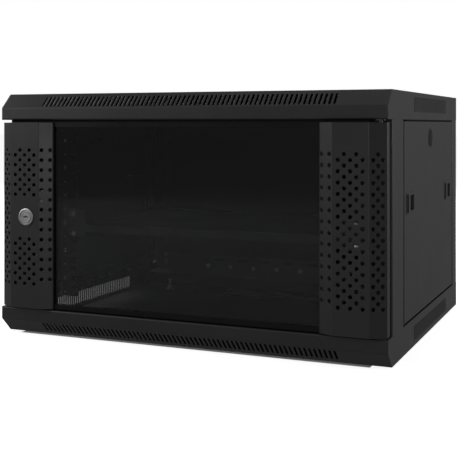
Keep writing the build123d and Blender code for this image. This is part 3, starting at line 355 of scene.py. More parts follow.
mouldedLook = {"edgeRadius": 0.0005, "edgeBreakup": 120.0, "edgeShare": 0.5, "edgeGain": 1.9,
               "edgeLift": 0.01, "dustColour": (0.14, 0.135, 0.125), "settled": 0.2, "trace": 0.03,
               "fineShare": 0.8, "heightBand": (0.3, 1.2), "grainDepth": 0.0003}
mouldedKinds = {
    "gasket_rubber": {"name": "sealRubber", "colour": (0.012, 0.012, 0.012), "roughness": (0.6, 0.8),
                      "grainScale": 1500.0, "bump": 0.12, "specular": 0.3},
    "latch_plastic": {"name": "latchPlastic", "colour": (0.016, 0.016, 0.017), "roughness": (0.36, 0.5),
                      "grainScale": 2200.0, "bump": 0.10, "specular": 0.5},
    "slider_plastic": {"name": "sliderPlastic", "colour": (0.011, 0.011, 0.012), "roughness": (0.28, 0.4),
                       "grainScale": 2600.0, "bump": 0.05, "specular": 0.5},
    "bush_nylon": {"name": "bushNylon", "colour": (0.03, 0.03, 0.03), "roughness": (0.4, 0.5),
                   "grainScale": 1800.0, "bump": 0.05, "specular": 0.5},
    # foam of the roof's vent filters, and also of the dark strip behind the shelf, which is painted shade
    "foam": {"name": "filterFoam", "colour": (0.010, 0.010, 0.010), "roughness": (0.85, 0.95),
             "grainScale": 420.0, "bump": 0.9, "specular": 0.1},
    # plastic of the panel plugs, and also of the panel-edge strips and the key-slot block, which are painted
    # shade
    "plugPlastic": {"name": "plugPlastic", "colour": (0.013, 0.013, 0.013), "roughness": (0.5, 0.62),
                    "grainScale": 2000.0, "bump": 0.1, "specular": 0.16},
}


def makeMoulded(look):
    # moulded plastic or rubber with a spark-eroded grain
    material, tree, shader, here = newFinish(look["name"])
    grain = placeEffect(tree, "coatGrain", here, (-5, 1), Peel_Scale=look["grainScale"],
                        Fine_Share=mouldedLook["fineShare"])
    wear = placeEffect(tree, "edgeWear", here, (-5, -1), Radius=mouldedLook["edgeRadius"],
                       Breakup=mouldedLook["edgeBreakup"])
    dust = placeEffect(tree, "dustFilm", here, (-5, -3), Settled=mouldedLook["settled"],
                       Trace=mouldedLook["trace"])
    paler = tuple(c * mouldedLook["edgeGain"] + mouldedLook["edgeLift"] for c in look["colour"])
    rubbed = mathStep(tree, "MULTIPLY", wear["Mask"], mouldedLook["edgeShare"], (-3, -1))
    tone = mixColour(tree, rubbed, look["colour"], paler, (-2, 0))
    tone = mixColour(tree, dust["Mask"], tone, mouldedLook["dustColour"], (-1, 0))
    feed(tree, shader.inputs["Base Color"], tone)
    rough = remap(tree, grain["Height"], mouldedLook["heightBand"], (-2, -3), look["roughness"])
    feed(tree, shader.inputs["Roughness"], rough)
    addTexture(tree, shader, grain["Height"], wear["Rounded"], look["bump"], mouldedLook["grainDepth"])
    shader.inputs["Specular IOR Level"].default_value = look["specular"]
    return material


inkLook = {"colour": (0.75, 0.75, 0.74), "thinColour": (0.3, 0.3, 0.3), "thinShare": 0.35,
           "patchScale": 900.0, "roughness": 0.55}


def makeInk():
    # screen-printed white, a little thin in places
    material, tree, shader, here = newFinish("whiteInk")
    touch = placeEffect(tree, "handling", here, (-4, 0), Smudge_Scale=inkLook["patchScale"])
    thin = mathStep(tree, "MULTIPLY", touch["Smudge"], inkLook["thinShare"], (-2, 0))
    colour = mixColour(tree, thin, inkLook["colour"], inkLook["thinColour"], (-1, 0))
    feed(tree, shader.inputs["Base Color"], colour)
    shader.inputs["Roughness"].default_value = inkLook["roughness"]
    return material


# names with an underscore are the record's material slots
finishes = {
    "powder_coat": makeCoat("blackPowderCoat"),
    "rack_steel": makeCoat("rackPowderCoat", colour=(0.017, 0.017, 0.0175), settled=0.015),
    "panelCoat": makeCoat("panelPowderCoat", peelScale=820.0, roughness=(0.38, 0.46)),
    "railCoat": makeCoat("railGlossCoat", **railLook),
    "barCoat": makeCoat("cableBarCoat", colour=(0.13, 0.13, 0.133), settled=0.02),
    "shelfCoat": makeCoat("shelfCoat", colour=(0.036, 0.036, 0.037), settled=0.0),
    "backCoat": makeCoat("backPanelCoat", colour=(0.013, 0.013, 0.0135), peelScale=700.0),
    "tinted_glass": makeSmokedGlass(),
    "ink": makeInk(),
}
for kind, look in metalKinds.items():
    finishes[kind] = makePlainMetal(look)
for kind, look in mouldedKinds.items():
    finishes[kind] = makeMoulded(look)
print("finishes ready:", len(finishes))


def paint(thing, finish):
    thing.data.materials.clear()
    thing.data.materials.append(finishes[finish])


# nodes whose finish isn't their slot's own
specialFinish = {
    "left_side_panel": "panelCoat",
    "right_side_panel": "panelCoat",
    "door_top_rail": "railCoat",
    "door_bottom_rail": "railCoat",
    "rear_cable_bar": "barCoat",
    "shelf": "shelfCoat",
    "back_panel": "backCoat",
    "upper_hinge_pin": "blackOxide",
    "lower_hinge_pin": "blackOxide",
}
for nodeName, node in nodes.items():
    paint(node, specialFinish.get(nodeName, slotOf[nodeName]))


def metres(look):
    # the same lengths, given in millimetres, as metres
    def scaled(value):
        return tuple(scaled(v) for v in value) if isinstance(value, tuple) else value * mm

    return {key: scaled(value) for key, value in look.items()}


def placeObject(name, data):
    thing = bpy.data.objects.new(name, data)
    scene.collection.objects.link(thing)
    return thing


def meshFrom(name, build):
    # build fills a bmesh
    bm = bmesh.new()
    build(bm)
    bmesh.ops.recalc_face_normals(bm, faces=bm.faces)
    mesh = bpy.data.meshes.new(name)
    bm.to_mesh(mesh)
    bm.free()
    return mesh


def pieceFrom(name, build, body, slotName, finish=None, smooth=35):
    # built in the cabinet's frame; it rides a body and takes its slot's finish or one of its own
    thing = placeObject(name, meshFrom(name, build))
    if smooth:
        for face in thing.data.polygons:
            face.use_smooth = True
        thing.data.set_sharp_from_angle(angle=math.radians(smooth))
    paint(thing, finish or slotName)
    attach(thing, body)
    return thing


def pieceName(nodeName, ending):
    first, *others = nodeName.split("_")
    return first + "".join(word.capitalize() for word in others) + ending


def finalMesh(thing):
    # what the object's modifiers or text make of it; the object itself goes
    bpy.context.view_layer.update()
    shown = thing.evaluated_get(bpy.context.evaluated_depsgraph_get())
    mesh = bpy.data.meshes.new_from_object(shown)
    bpy.data.objects.remove(thing)
    return mesh


def carve(name, fill, cutters):
    # a mesh with other closed meshes cut out of it
    block = placeObject(name, meshFrom(name, fill))
    tools = [placeObject(name + "Cutter", meshFrom(name + "Cutter", cutter)) for cutter in cutters]
    for tool in tools:
        cut = block.modifiers.new("cut", "BOOLEAN")
        cut.operation = "DIFFERENCE"
        cut.solver = "EXACT"
        cut.object = tool
    mesh = finalMesh(block)
    for tool in tools:
        bpy.data.objects.remove(tool)
    return mesh


def looseSolids(nodeName):
    # boxes of the separate solids in one CAD node
    weld = 1e-6
    bm = bmesh.new()
    bm.from_mesh(nodes[nodeName].data)
    bmesh.ops.remove_doubles(bm, verts=bm.verts, dist=weld)
    left = set(bm.verts)
    boxes = []
    while left:
        stack = [left.pop()]
        found = []
        while stack:
            v = stack.pop()
            found.append(v.co.copy())
            for edge in v.link_edges:
                other = edge.other_vert(v)
                if other in left:
                    left.remove(other)
                    stack.append(other)
        low = Vector([min(c[i] for c in found) for i in range(3)])
        high = Vector([max(c[i] for c in found) for i in range(3)])
        boxes.append((low, high))
    bm.free()
    return sorted(boxes, key=lambda b: tuple(b[0]))


def fullTurn(count):
    return [2 * math.pi * i / count for i in range(count)]


def bridge(bm, first, second):
    for i in range(len(first)):
        j = (i + 1) % len(first)
        bm.faces.new((first[i], second[i], second[j], first[j]))


def skinInto(bm, outlines):
    # a closed skin over outlines that have the same number of points
    rings = [[bm.verts.new(point) for point in outline] for outline in outlines]
    for first, second in zip(rings, rings[1:]):
        bridge(bm, first, second)
    bm.faces.new(rings[0])
    bm.faces.new(rings[-1][::-1])


def lathe(bm, profile, matrix, segments=32):
    # turn (radius, height) points about local Z; ends on the axis close with a fan
    turns = fullTurn(segments)
    rings = []
    for radius, height in profile:
        around = turns if radius > 0 else [0.0]
        points = [Vector((radius * math.cos(a), radius * math.sin(a), height)) for a in around]
        rings.append([bm.verts.new(matrix @ point) for point in points])
    for lower, upper in zip(rings, rings[1:]):
        count = max(len(lower), len(upper))
        for i in range(count):
            j = (i + 1) % count
            corners = []
            for ring, index in ((lower, i), (lower, j), (upper, j), (upper, i)):
                vertex = ring[index % len(ring)]
                if vertex not in corners:
                    corners.append(vertex)
            if len(corners) > 2:
                bm.faces.new(corners)
    return rings


def facing(direction, place):
    # matrix that stands local Z along a direction at a place
    turn = Vector(direction).to_track_quat("Z", "Y").to_matrix().to_4x4()
    return Matrix.Translation(place) @ turn


def threadProfile(root, crest, low, high, pitch, blunt=True):
    # zigzag of thread crests between two heights, from the top down, with a blunt point
    lastCrest, point = crest * 0.9, root * 0.8
    points = []
    while high > low + pitch:
        points += [(crest, high), (root, high - pitch / 2)]
        high -= pitch
    if blunt:
        points += [(lastCrest, high), (point, low)]
    return points


def appendMesh(bm, mesh, matrix):
    # a copy of a finished mesh, moved into place
    start = len(bm.verts)
    bm.from_mesh(mesh)
    bm.verts.ensure_lookup_table()
    bmesh.ops.transform(bm, matrix=matrix, verts=bm.verts[start:])


def boxInto(bm, low, high, taper=0.0):
    # a box between two corners; taper narrows its lower end
    outlines = []
    for z, inset in ((low[2], taper), (high[2], 0.0)):
        left, right = low[0] + inset, high[0] - inset
        front, back = low[1] + inset, high[1] - inset
        outlines.append([(left, front, z), (right, front, z), (right, back, z), (left, back, z)])
    skinInto(bm, outlines)


# lengths in mm; the screws' heads face along "faces"
screwLook = {
    "shelf_screws": {"head": 5.2, "rise": 3.2, "shank": 2.95, "faces": (0, -1, 0), "pitch": 1.0},
    "cable_bar_screws": {"head": 4.2, "rise": 2.4, "shank": 1.9, "faces": (0, -1, 0), "pitch": 0.7},
    "back_panel_screws": {"head": 3.6, "rise": 2.0, "shank": 1.85, "faces": (0, -1, 0), "pitch": 0.7},
    "roof_plate_screws": {"head": 3.6, "rise": 2.0, "shank": 1.85, "faces": (0, 0, -1), "pitch": 0.7},
}
# shares of the head's radius and rise, and of the shank's radius
headShape = {
    "dome": ((0.0, 1.0), (0.45, 0.985), (0.72, 0.88), (0.9, 0.62), (0.985, 0.3), (1.0, 0.08), (0.97, 0.0)),
    "recessLength": 0.56,
    "recessWidth": 0.11,
    "recessDepth": 0.62,
    "recessTaper": 0.45,  # share of the recess's width
    "threadRoot": 0.82,
}
screwSeed = 7


def panScrewMesh(look, length):
    # pan head with a cross recess and a threaded shank; head above zero, shank below
    head, rise, shank, pitch = (look[key] * mm for key in ("head", "rise", "shank", "pitch"))
    profile = [(head * r, rise * h) for r, h in headShape["dome"]] + [(shank, 0.0)]
    profile += threadProfile(shank * headShape["threadRoot"], shank, -length, -pitch / 2, pitch)
    profile += [(0.0, -length)]
    long, wide = head * headShape["recessLength"], head * headShape["recessWidth"]
    taper = wide * headShape["recessTaper"]
    bottom = rise * (1 - headShape["recessDepth"])
    top = rise * 1.2  # clear of the dome

    def wing(x, y):
        return lambda bm: boxInto(bm, (-x, -y, bottom), (x, y, top), taper)

    return carve("panScrew", lambda bm: lathe(bm, profile, Matrix.Identity(4), segments=28),
                 [wing(long, wide), wing(wide, long)])


def makeScrews(nodeName, look, draws):
    direction = Vector(look["faces"])
    axis = [abs(part) for part in direction].index(1)
    rise = look["rise"] * mm
    boxes = looseSolids(nodeName)
    depth = boxes[0][1][axis] - boxes[0][0][axis]
    mesh = panScrewMesh(look, depth - rise)

    def build(bm):
        for low, high in boxes:
            place = (low + high) / 2
            top = high[axis] if direction[axis] > 0 else low[axis]
            place[axis] = top - direction[axis] * rise
            turn = Matrix.Rotation(draws.uniform(0, math.pi), 4, "Z")
            appendMesh(bm, mesh, facing(direction, place) @ turn)

    piece = pieceFrom(pieceName(nodeName, "Crossed"), build, bodyOf[nodeName], "zinc_steel")
    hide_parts(nodeName)


screwDraws = random.Random(screwSeed)
for nodeName, look in screwLook.items():
    makeScrews(nodeName, look, screwDraws)
print("crossed screws made")

boltLook = {"flats": 10.0, "head": 4.0, "nut": 5.0, "nutGap": 1.0, "washer": 5.6, "washerThick": 0.9,
            "shank": 2.9, "pitch": 1.0, "threadFrom": 1.0, "shankFrom": 0.2}
# chamfer in degrees, then shares of the flats' half width, of the face and of the shank
boltShape = {"chamfer": 30.0, "faceShare": 0.97, "dishShare": 0.6, "threadRoot": 0.85, "segments": 60}
# axis of the bolts, side of their heads (0 is towards the middle), and whether they carry nuts
boltRows = {"rail_bolts": (0, 0, False), "bracket_bolts": (1, 1, False), "bracket_tab_bolts": (1, -1, True)}


def hexRadius(angle, flats):
    return flats / 2 / math.cos((angle + math.pi / 6) % (math.pi / 3) - math.pi / 6)


def hexagonInto(bm, matrix, flats, height):
    # hexagon head or nut standing on zero, corners turned down at the top
    face = flats / 2 * boltShape["faceShare"]
    slope = math.tan(math.radians(boltShape["chamfer"]))
    rows = [[], [], [], []]
    for a in fullTurn(boltShape["segments"]):
        corner = hexRadius(a, flats)
        levels = ((corner, 0.0), (corner, height - (corner - face) * slope), (face, height),
                  (face * boltShape["dishShare"], height))
        for row, (r, z) in zip(rows, levels):
            row.append(matrix @ Vector((r * math.cos(a), r * math.sin(a), z)))
    skinInto(bm, rows)


def boltInto(bm, direction, headTop, tail, nutted):
    # one hexagon bolt from its head's top to its tail, with an optional nut
    size = metres(boltLook)
    seat = headTop - direction * size["head"]
    matrix = facing(direction, seat)
    length = (seat - tail).length
    hexagonInto(bm, matrix, size["flats"], size["head"])
    washer, thick = size["washer"], size["washerThick"]
    lathe(bm, [(0.0, 0.0), (washer, 0.0), (washer, thick), (0.0, thick)], matrix)
    shank = size["shank"]
    root = shank * boltShape["threadRoot"]
    thread = threadProfile(root, shank, -length, -size["threadFrom"], size["pitch"])
    lathe(bm, [(0.0, 0.0), (shank, -size["shankFrom"]), *thread, (0.0, -length)], matrix, segments=20)
    if nutted:
        nutFrom = tail + direction * (size["nut"] + size["nutGap"])
        hexagonInto(bm, facing(-direction, nutFrom), size["flats"], size["nut"])


def makeBolts(nodeName, axis, headSide, nutted):
    def build(bm):
        for low, high in looseSolids(nodeName):
            side = headSide or (1 if low[axis] < 0 else -1)
            direction = Vector((0, 0, 0))
            direction[axis] = side
            top = (low + high) / 2
            tail = top.copy()
            top[axis], tail[axis] = (high[axis], low[axis])[::side]
            boltInto(bm, direction, top, tail, nutted)

    piece = pieceFrom(pieceName(nodeName, "Hex"), build, bodyOf[nodeName], "zinc_steel")
    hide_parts(nodeName)


for nodeName, row in boltRows.items():
    makeBolts(nodeName, *row)
print("hexagon bolts made")

# lengths in mm; "rimFace" is the rim's outline from its bore outwards, as radius and height
lockLook = {
    "bore": 6.05,
    "rimFace": ((6.05, -0.35), (6.35, -0.05), (8.5, 0.0), (8.8, -0.3), (8.8, -1.3), (10.4, -1.3),
                (10.4, -0.4), (10.8, 0.0), (11.7, 0.0), (12.7, -0.35), (13.1, -1.1), (13.2, -2.6)),
    "crest": 8.0,
    "root": 7.5,
    "end": 7.4,
    "relief": 0.8,
    "pitch": 1.0,
    "barrel": 6.0,
    "barrelEdge": 0.3,
    "tail": 4.6,
    "tailLength": 2.4,
    "keySlot": (8.2, 2.0),
    "keySlotDepth": 6.0,
    "keyGroove": ((-1.2, -0.2), (1.0, 1.9)),
    # depth, thickness and clearance of the dark block in the key slot, which paints shade in the keyway
    "shutterDepth": 0.9,
    "shutterThick": 1.5,
    "shutterSpare": 0.05,
}


def makeLock():
    size = metres(lockLook)
    low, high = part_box("lock_body")
    centre = (low + high) / 2
    bodyLength = high.y - low.y
    under = size["rimFace"][-1][1]
    crest, root = size["crest"], size["root"]
    profile = [(size["bore"], -bodyLength), *size["rimFace"], (crest, under)]
    profile += threadProfile(root, crest, -bodyLength, under - size["relief"], size["pitch"], blunt=False)
    profile += [(size["end"], -bodyLength)]

    def body(bm):
        place = facing((0, -1, 0), Vector((centre.x, low.y, centre.z)))
        rings = lathe(bm, profile, place, segments=64)
        bridge(bm, rings[-1], rings[0])

    piece = pieceFrom("lockRim", body, "door", "lock_chrome")
    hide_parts("lock_body")

    low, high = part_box("lock_barrel")
    length = high.y - low.y
    radius, edge, tail = size["barrel"], size["barrelEdge"], size["tail"]
    step = size["tailLength"] - length
    barrelProfile = [(0.0, 0.0), (radius - edge, 0.0), (radius, -edge), (radius, step), (tail, step),
                     (tail, -length), (0.0, -length)]
    long, wide = (v / 2 for v in size["keySlot"])
    depth = size["keySlotDepth"]
    grooveLow, grooveHigh = size["keyGroove"]

    mesh = carve("keyBarrel", lambda bm: lathe(bm, barrelProfile, Matrix.Identity(4), segments=48), [
        lambda bm: boxInto(bm, (-long, -wide, -depth), (long, wide, mm)),
        lambda bm: boxInto(bm, (*grooveLow, -depth), (*grooveHigh, mm)),
    ])
    place = facing((0, -1, 0), Vector((centre.x, low.y, centre.z)))
    piece = pieceFrom("keyBarrel", lambda bm: appendMesh(bm, mesh, place), "lock", "lock_chrome")
    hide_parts("lock_barrel")

    # dark block a little way down the key slot, shaped as a shutter: painted shade in the keyway
    def slotShade(bm):
        x, y = long + size["shutterSpare"], wide + size["shutterSpare"]
        top = -size["shutterDepth"]
        boxInto(bm, (-x, -y, top - size["shutterThick"]), (x, y, top))
        bmesh.ops.transform(bm, matrix=place, verts=bm.verts)

    pieceFrom("keyShutter", slotShade, "lock", "lock_chrome", "plugPlastic", smooth=0)


makeLock()
print("lock made")

coinLook = {"panelFace": 299.2, "ringOuter": 11.6, "ringInner": 10.4, "ringDepth": 0.9, "slot": (2.2, 15.0),
            "slotDepth": 1.4, "shank": 12.9, "shankEnd": 12.2, "lead": 0.8}
coinEdgeShare = 0.45  # share of the flange that is bevelled


def makePanelPlug(side, word):
    # same outline as the CAD plug, with a ring groove and a coin slot in its face
    size = metres(coinLook)
    nodeName = word + "_panel_plug"
    low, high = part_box(nodeName)
    centre = (low + high) / 2
    radius = (high.y - low.y) / 2
    length = high.x - low.x
    face = max(abs(low.x), abs(high.x))
    flange = face - size["panelFace"]
    edge = flange * coinEdgeShare
    outer, inner, depth = size["ringOuter"], size["ringInner"], size["ringDepth"]
    profile = [(0.0, 0.0), (inner, 0.0), (inner, -depth), (outer, -depth), (outer, 0.0), (radius - edge, 0.0),
               (radius, -edge), (radius, -flange), (size["shank"], -flange),
               (size["shank"], size["lead"] - length), (size["shankEnd"], -length), (0.0, -length)]
    wide, long = (v / 2 for v in size["slot"])

    mesh = carve("panelPlug", lambda bm: lathe(bm, profile, Matrix.Identity(4), segments=48), [
        lambda bm: boxInto(bm, (-wide, -long, -size["slotDepth"]), (wide, long, mm)),
    ])
    place = facing((side, 0, 0), Vector((side * face, centre.y, centre.z)))
    piece = pieceFrom(word + "CoinPlug", lambda bm: appendMesh(bm, mesh, place), bodyOf[nodeName],
                      "latch_plastic", "plugPlastic")
    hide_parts(nodeName)


for side, word in sides:
    makePanelPlug(side, word)
print("panel plugs made")

headSealLook = {"left": -290.0, "right": 272.0, "front": -250.6, "back": -244.8, "low": 321.6, "top": 328.0,
                "base": 1.2}


def makeHeadSeal():
    # bulb seal stuck under the top fascia, just behind the closed door
    size = metres(headSealLook)
    front, back, low, top = (size[key] for key in ("front", "back", "low", "top"))
    radius = (back - front) / 2
    middle = (front + back) / 2
    base = top - size["base"]
    steps = 12
    bulb = [math.pi * i / steps for i in range(steps + 1)]
    outline = [(front, top), (front, base)]
    outline += [(middle - radius * math.cos(a), low + radius - radius * math.sin(a)) for a in bulb]
    outline += [(back, base), (back, top)]

    def build(bm):
        skinInto(bm, [[(x, y, z) for y, z in outline] for x in (size["left"], size["right"])])

    pieceFrom("headSeal", build, "frame", "gasket_rubber")


sideSealLook = {"outer": -297.8, "inner": -293.8, "front": -245.8, "low": 44.5, "top": 321.5}


def makeSideSeal():
    # foam strip on the lock-side post that the door's return closes against
    size = metres(sideSealLook)
    low = (size["outer"], size["front"], size["low"])
    high = (size["inner"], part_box("left_front_post")[0].y, size["top"])
    pieceFrom("lockSideSeal", lambda bm: boxInto(bm, low, high), "frame", "gasket_rubber")


filterLook = {"front": -148.0, "back": 216.0, "low": 326.4, "top": 366.0, "outer": 298.6, "thick": 2.2}


def makeVentFilter(side, word):
    # foam dust filter inside one of the roof's side vents
    size = metres(filterLook)
    across = sorted((side * size["outer"], side * (size["outer"] - size["thick"])))
    low = (across[0], size["front"], size["low"])
    high = (across[1], size["back"], size["top"])
    pieceFrom(word + "RoofVentFilter", lambda bm: boxInto(bm, low, high), "frame", "gasket_rubber", "foam",
              smooth=0)


# lengths in mm of the dark strips on the side panels' front edges, painted shade of the seams
edgeShadeLook = {"outer": 299.6, "inner": 297.4, "width": 6.0, "fromEnds": 1.0}
edgeShadeBevelShare = 0.3  # share of its thickness


def makePanelEdgeShade(side, word):
    # dark plastic strip on the front edge of one side panel: painted shade of the seam between the panel and
    # the front post
    size = metres(edgeShadeLook)
    low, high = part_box(word + "_side_panel")
    outer, inner = side * size["outer"], side * size["inner"]
    front, back = low.y, low.y + size["width"]
    bevel = (size["outer"] - size["inner"]) * edgeShadeBevelShare
    shoulder = outer - side * bevel
    outline = [(inner, front), (shoulder, front), (outer, front + bevel), (outer, back - bevel),
               (shoulder, back), (inner, back)]
    heights = (low.z + size["fromEnds"], high.z - size["fromEnds"])

    def build(bm):
        skinInto(bm, [[(x, y, z) for x, y in outline] for z in heights])

    pieceFrom(word + "PanelEdging", build, word + "_panel", "gasket_rubber", "plugPlastic", smooth=20)


# lengths in mm of the dark strip over the shelf's rear edge, painted shade
shelfShadeLook = {"wrap": 12.0, "above": 4.0, "below": 3.0, "behind": 1.6, "inset": 3.0, "bevel": 1.5, "sheet": 1.2}


def makeShelfShadeStrip():
    # near-black channel over the shelf's rear edge: painted shade of the dark band behind the shelf
    size = metres(shelfShadeLook)
    low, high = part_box("shelf")
    rear = high.y
    flat = max(v.co.z for v in nodes["shelf"].data.vertices if v.co.y > rear - mm)
    front, back = rear - size["wrap"], rear + size["behind"]
    crown, bevel = flat + size["above"], size["bevel"]
    outline = [(front, flat), (front + bevel, crown), (back - bevel, crown), (back, crown - bevel),
               (back, flat - size["below"]), (rear, flat - size["below"]), (rear, flat - size["sheet"]),
               (rear, flat)]
    half = (high.x - low.x) / 2 - size["inset"]

    def build(bm):
        skinInto(bm, [[(x, y, z) for y, z in outline] for x in (-half, half)])

    pieceFrom("shelfRearTrim", build, "frame", "gasket_rubber", "foam", smooth=20)


wallPlugLook = {"span": (406.4, 200.0), "middleZ": 184.0, "hole": 4.9, "flange": 6.8, "rise": 1.3,
                "bevel": (0.6, 0.5), "lead": 0.3, "wall": 0.9, "draft": 0.1, "floor": 0.2}


def makeHolePlugs():
    # push-in plugs in the four wall-mounting holes of the back panel
    size = metres(wallPlugLook)
    low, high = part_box("back_panel")
    sheet = high.y - low.y
    hole, flange, rise, floor = (size[key] for key in ("hole", "flange", "rise", "floor"))
    bevelIn, bevelDown = size["bevel"]
    lip = hole - size["lead"]
    profile = [(0.0, rise), (flange - bevelIn, rise), (flange, rise - bevelDown), (flange, 0.0), (hole, 0.0),
               (lip, -sheet), (lip - size["wall"], -sheet), (lip - size["wall"] - size["draft"], -floor),
               (0.0, -floor)]
    spanX, spanZ = size["span"]

    def build(bm):
        for x in (-0.5, 0.5):
            for z in (-0.5, 0.5):
                place = Vector((x * spanX, low.y, size["middleZ"] + z * spanZ))
                lathe(bm, profile, facing((0, -1, 0), place))

    pieceFrom("wallHolePlugs", build, "frame", "latch_plastic")


makeHeadSeal()
makeSideSeal()
for side, word in sides:
    makeVentFilter(side, word)
for side, word in sides:
    makePanelEdgeShade(side, word)
makeShelfShadeStrip()
makeHolePlugs()
print("seals, filters and hole plugs made")

# lengths in mm
ridgeLook = {"rise": 0.7, "sink": 0.2, "margin": 0.8, "endSlope": 0.4, "tabBand": 0.1}
ridgeCount = 5
ridgeShares = {"ends": 0.5, "first": 0.75, "foot": 0.42, "crest": 0.12}  # of the step between ridges


def makeSliderRidges(nodeName):
    # ribs across the finger tab of one latch slider
    size = metres(ridgeLook)
    points = [v.co for v in nodes[nodeName].data.vertices]
    side = -1 if points[0].x < 0 else 1
    reach = max(p.x * side for p in points)
    tab = [p for p in points if p.x * side > reach - size["tabBand"]]
    lowY, highY = min(p.y for p in tab), max(p.y for p in tab)
    lowZ, highZ = min(p.z for p in tab) + size["margin"], max(p.z for p in tab) - size["margin"]
    step = (highY - lowY) / (ridgeCount + ridgeShares["ends"])
    foot, crest = step * ridgeShares["foot"], step * ridgeShares["crest"]
    top = (reach + size["rise"]) * side
    root = (reach - size["sink"]) * side

    def build(bm):
        for i in range(ridgeCount):
            y = lowY + (i + ridgeShares["first"]) * step
            skinInto(bm, [
                [(root, y - foot, z), (top, y - crest, inner), (top, y + crest, inner), (root, y + foot, z)]
                for z, inner in ((lowZ, lowZ + size["endSlope"]), (highZ, highZ - size["endSlope"]))
            ])

    pieceFrom(pieceName(nodeName, "Ridges"), build, bodyOf[nodeName], "slider_plastic", smooth=20)


knurlLook = {"rise": 0.45, "margin": 0.8, "taper": 0.5, "rimBand": 0.2}
knurlCount = 22
knurlValley = 0.15  # share of the rise left between knurls
knurlSink = 0.5  # share of the rise that the ends go under the knob's skin


def makeKnurl():
    # knurled rim of the sprung pin's knob
    size = metres(knurlLook)
    low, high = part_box("upper_hinge_pin")
    centre = Vector(((low.x + high.x) / 2, (low.y + high.y) / 2, 0))
    radius = (high.x - low.x) / 2
    points = [v.co for v in nodes["upper_hinge_pin"].data.vertices]
    rim = [p.z for p in points if (p - centre).xy.length > radius - size["rimBand"]]
    bottom, top = min(rim) + size["margin"], max(rim) - size["margin"]
    turns = fullTurn(knurlCount * 4)
    grips = [1.0 if i % 4 in (0, 1) else knurlValley for i in range(len(turns))]
    ends = [-knurlSink] * len(turns)
    levels = ((bottom - size["taper"], ends), (bottom, grips), (top, grips), (top + size["taper"], ends))

    def build(bm):
        outlines = []
        for z, shares in levels:
            reaches = [radius + size["rise"] * share for share in shares]
            outlines.append([(centre.x + r * math.cos(a), centre.y + r * math.sin(a), z)
                             for r, a in zip(reaches, turns)])
        skinInto(bm, outlines)

    pieceFrom("hingePinKnurl", build, "hinge_pin", "zinc_steel", "blackOxide", smooth=20)


for nodeName in nodes:
    if nodeName.endswith("latch_slider"):
        makeSliderRidges(nodeName)
makeKnurl()
print("grips made")

printLook = {"unit": 44.45, "holeSpacing": 465.1, "digitHeight": 6.2, "digitFromHole": 15.6,
             "dashLength": 3.4, "dashHeight": 0.9, "film": 0.06}
unitCount = 6
fontGain = 1.4  # font size over the height of its digits


def digitMesh(text):
    curve = bpy.data.curves.new("digit" + text, "FONT")
    curve.body = text
    curve.size = printLook["digitHeight"] * mm * fontGain
    curve.align_x = "CENTER"
    curve.align_y = "CENTER"
    curve.extrude = printLook["film"] * mm / 2
    return finalMesh(placeObject("digit" + text, curve))


def makeUnitMarks(side, word, digits):
    # a dash at each unit's edge and the unit's number between
    size = metres(printLook)
    unit, film = size["unit"], size["film"]
    middle = (cadBox[0][2] + cadBox[1][2]) / 2
    x = side * (size["holeSpacing"] / 2 + size["digitFromHole"])
    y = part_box(word + "_front_rail")[0].y - film / 2
    half = Vector((size["dashLength"], film, size["dashHeight"])) / 2

    def build(bm):
        for i in range(unitCount + 1):
            z = middle + (i - unitCount / 2) * unit
            spot = Vector((x, y, z))
            boxInto(bm, spot - half, spot + half)
            if i < unitCount:
                upright = Matrix.Translation((x, y, z + unit / 2)) @ Matrix.Rotation(math.pi / 2, 4, "X")
                appendMesh(bm, digits[i], upright)

    pieceFrom(word + "RailMarks", build, "frame", "rack_steel", "ink", smooth=0)


unitDigits = [digitMesh(str(i + 1)) for i in range(unitCount)]
for side, word in sides:
    makeUnitMarks(side, word, unitDigits)
print("unit marks printed")

# lengths in metres; one share of the footprint marks the floor that doesn't glow: a painted shadow beneath
# the cabinet
stageLook = {"floorSize": 24.0, "floorColour": (0.80, 0.80, 0.80), "floorGlow": 0.82, "darkShare": 0.91,
             "floorGap": 0.0005, "ambient": 0.15}


def makeFloor():
    half = stageLook["floorSize"]
    z = cadBox[0][2] - stageLook["floorGap"]
    mesh = bpy.data.meshes.new("studioFloor")
    corners = [(-half, -half, z), (half, -half, z), (half, half, z), (-half, half, z)]
    mesh.from_pydata(corners, [], [(0, 1, 2, 3)])
    floor = placeObject("studioFloor", mesh)
    floor.visible_glossy = False

    material = bpy.data.materials.new("paleFloor")
    material.use_nodes = True
    mesh.materials.append(material)
    tree = material.node_tree
    tree.nodes.clear()
    diffuse = addNode(tree, "ShaderNodeBsdfDiffuse", (0, 1))
    feed(tree, diffuse.inputs[0], stageLook["floorColour"])
    path = addNode(tree, "ShaderNodeLightPath", (-4, 0))
    level = mathStep(tree, "MULTIPLY", path.outputs["Is Camera Ray"], stageLook["floorGlow"], (-2, 0))
    # painted shadow: no glow on the floor beneath the cabinet
    here = addNode(tree, "ShaderNodeTexCoord", (-8, -2))
    parts = addNode(tree, "ShaderNodeSeparateXYZ", (-7, -2))
    feed(tree, parts.inputs[0], here.outputs["Object"])
    beside = []
    for i in range(2):
        reach = cadBox[1][i] * stageLook["darkShare"]
        distance = mathStep(tree, "ABSOLUTE", parts.outputs[i], None, (-6, -1 - i))
        beside.append(mathStep(tree, "GREATER_THAN", distance, reach, (-5, -1 - i)))
    outside = mathStep(tree, "MAXIMUM", *beside, (-3, -2))
    glow = addNode(tree, "ShaderNodeEmission", (0, 0))
    feed(tree, glow.inputs["Strength"], mathStep(tree, "MULTIPLY", level, outside, (-1, 0)))
    both = addNode(tree, "ShaderNodeAddShader", (2, 0))
    feed(tree, both.inputs[0], diffuse.outputs[0])
    feed(tree, both.inputs[1], glow.outputs[0])
    output = addNode(tree, "ShaderNodeOutputMaterial", (3, 0))
    feed(tree, output.inputs[0], both.outputs[0])


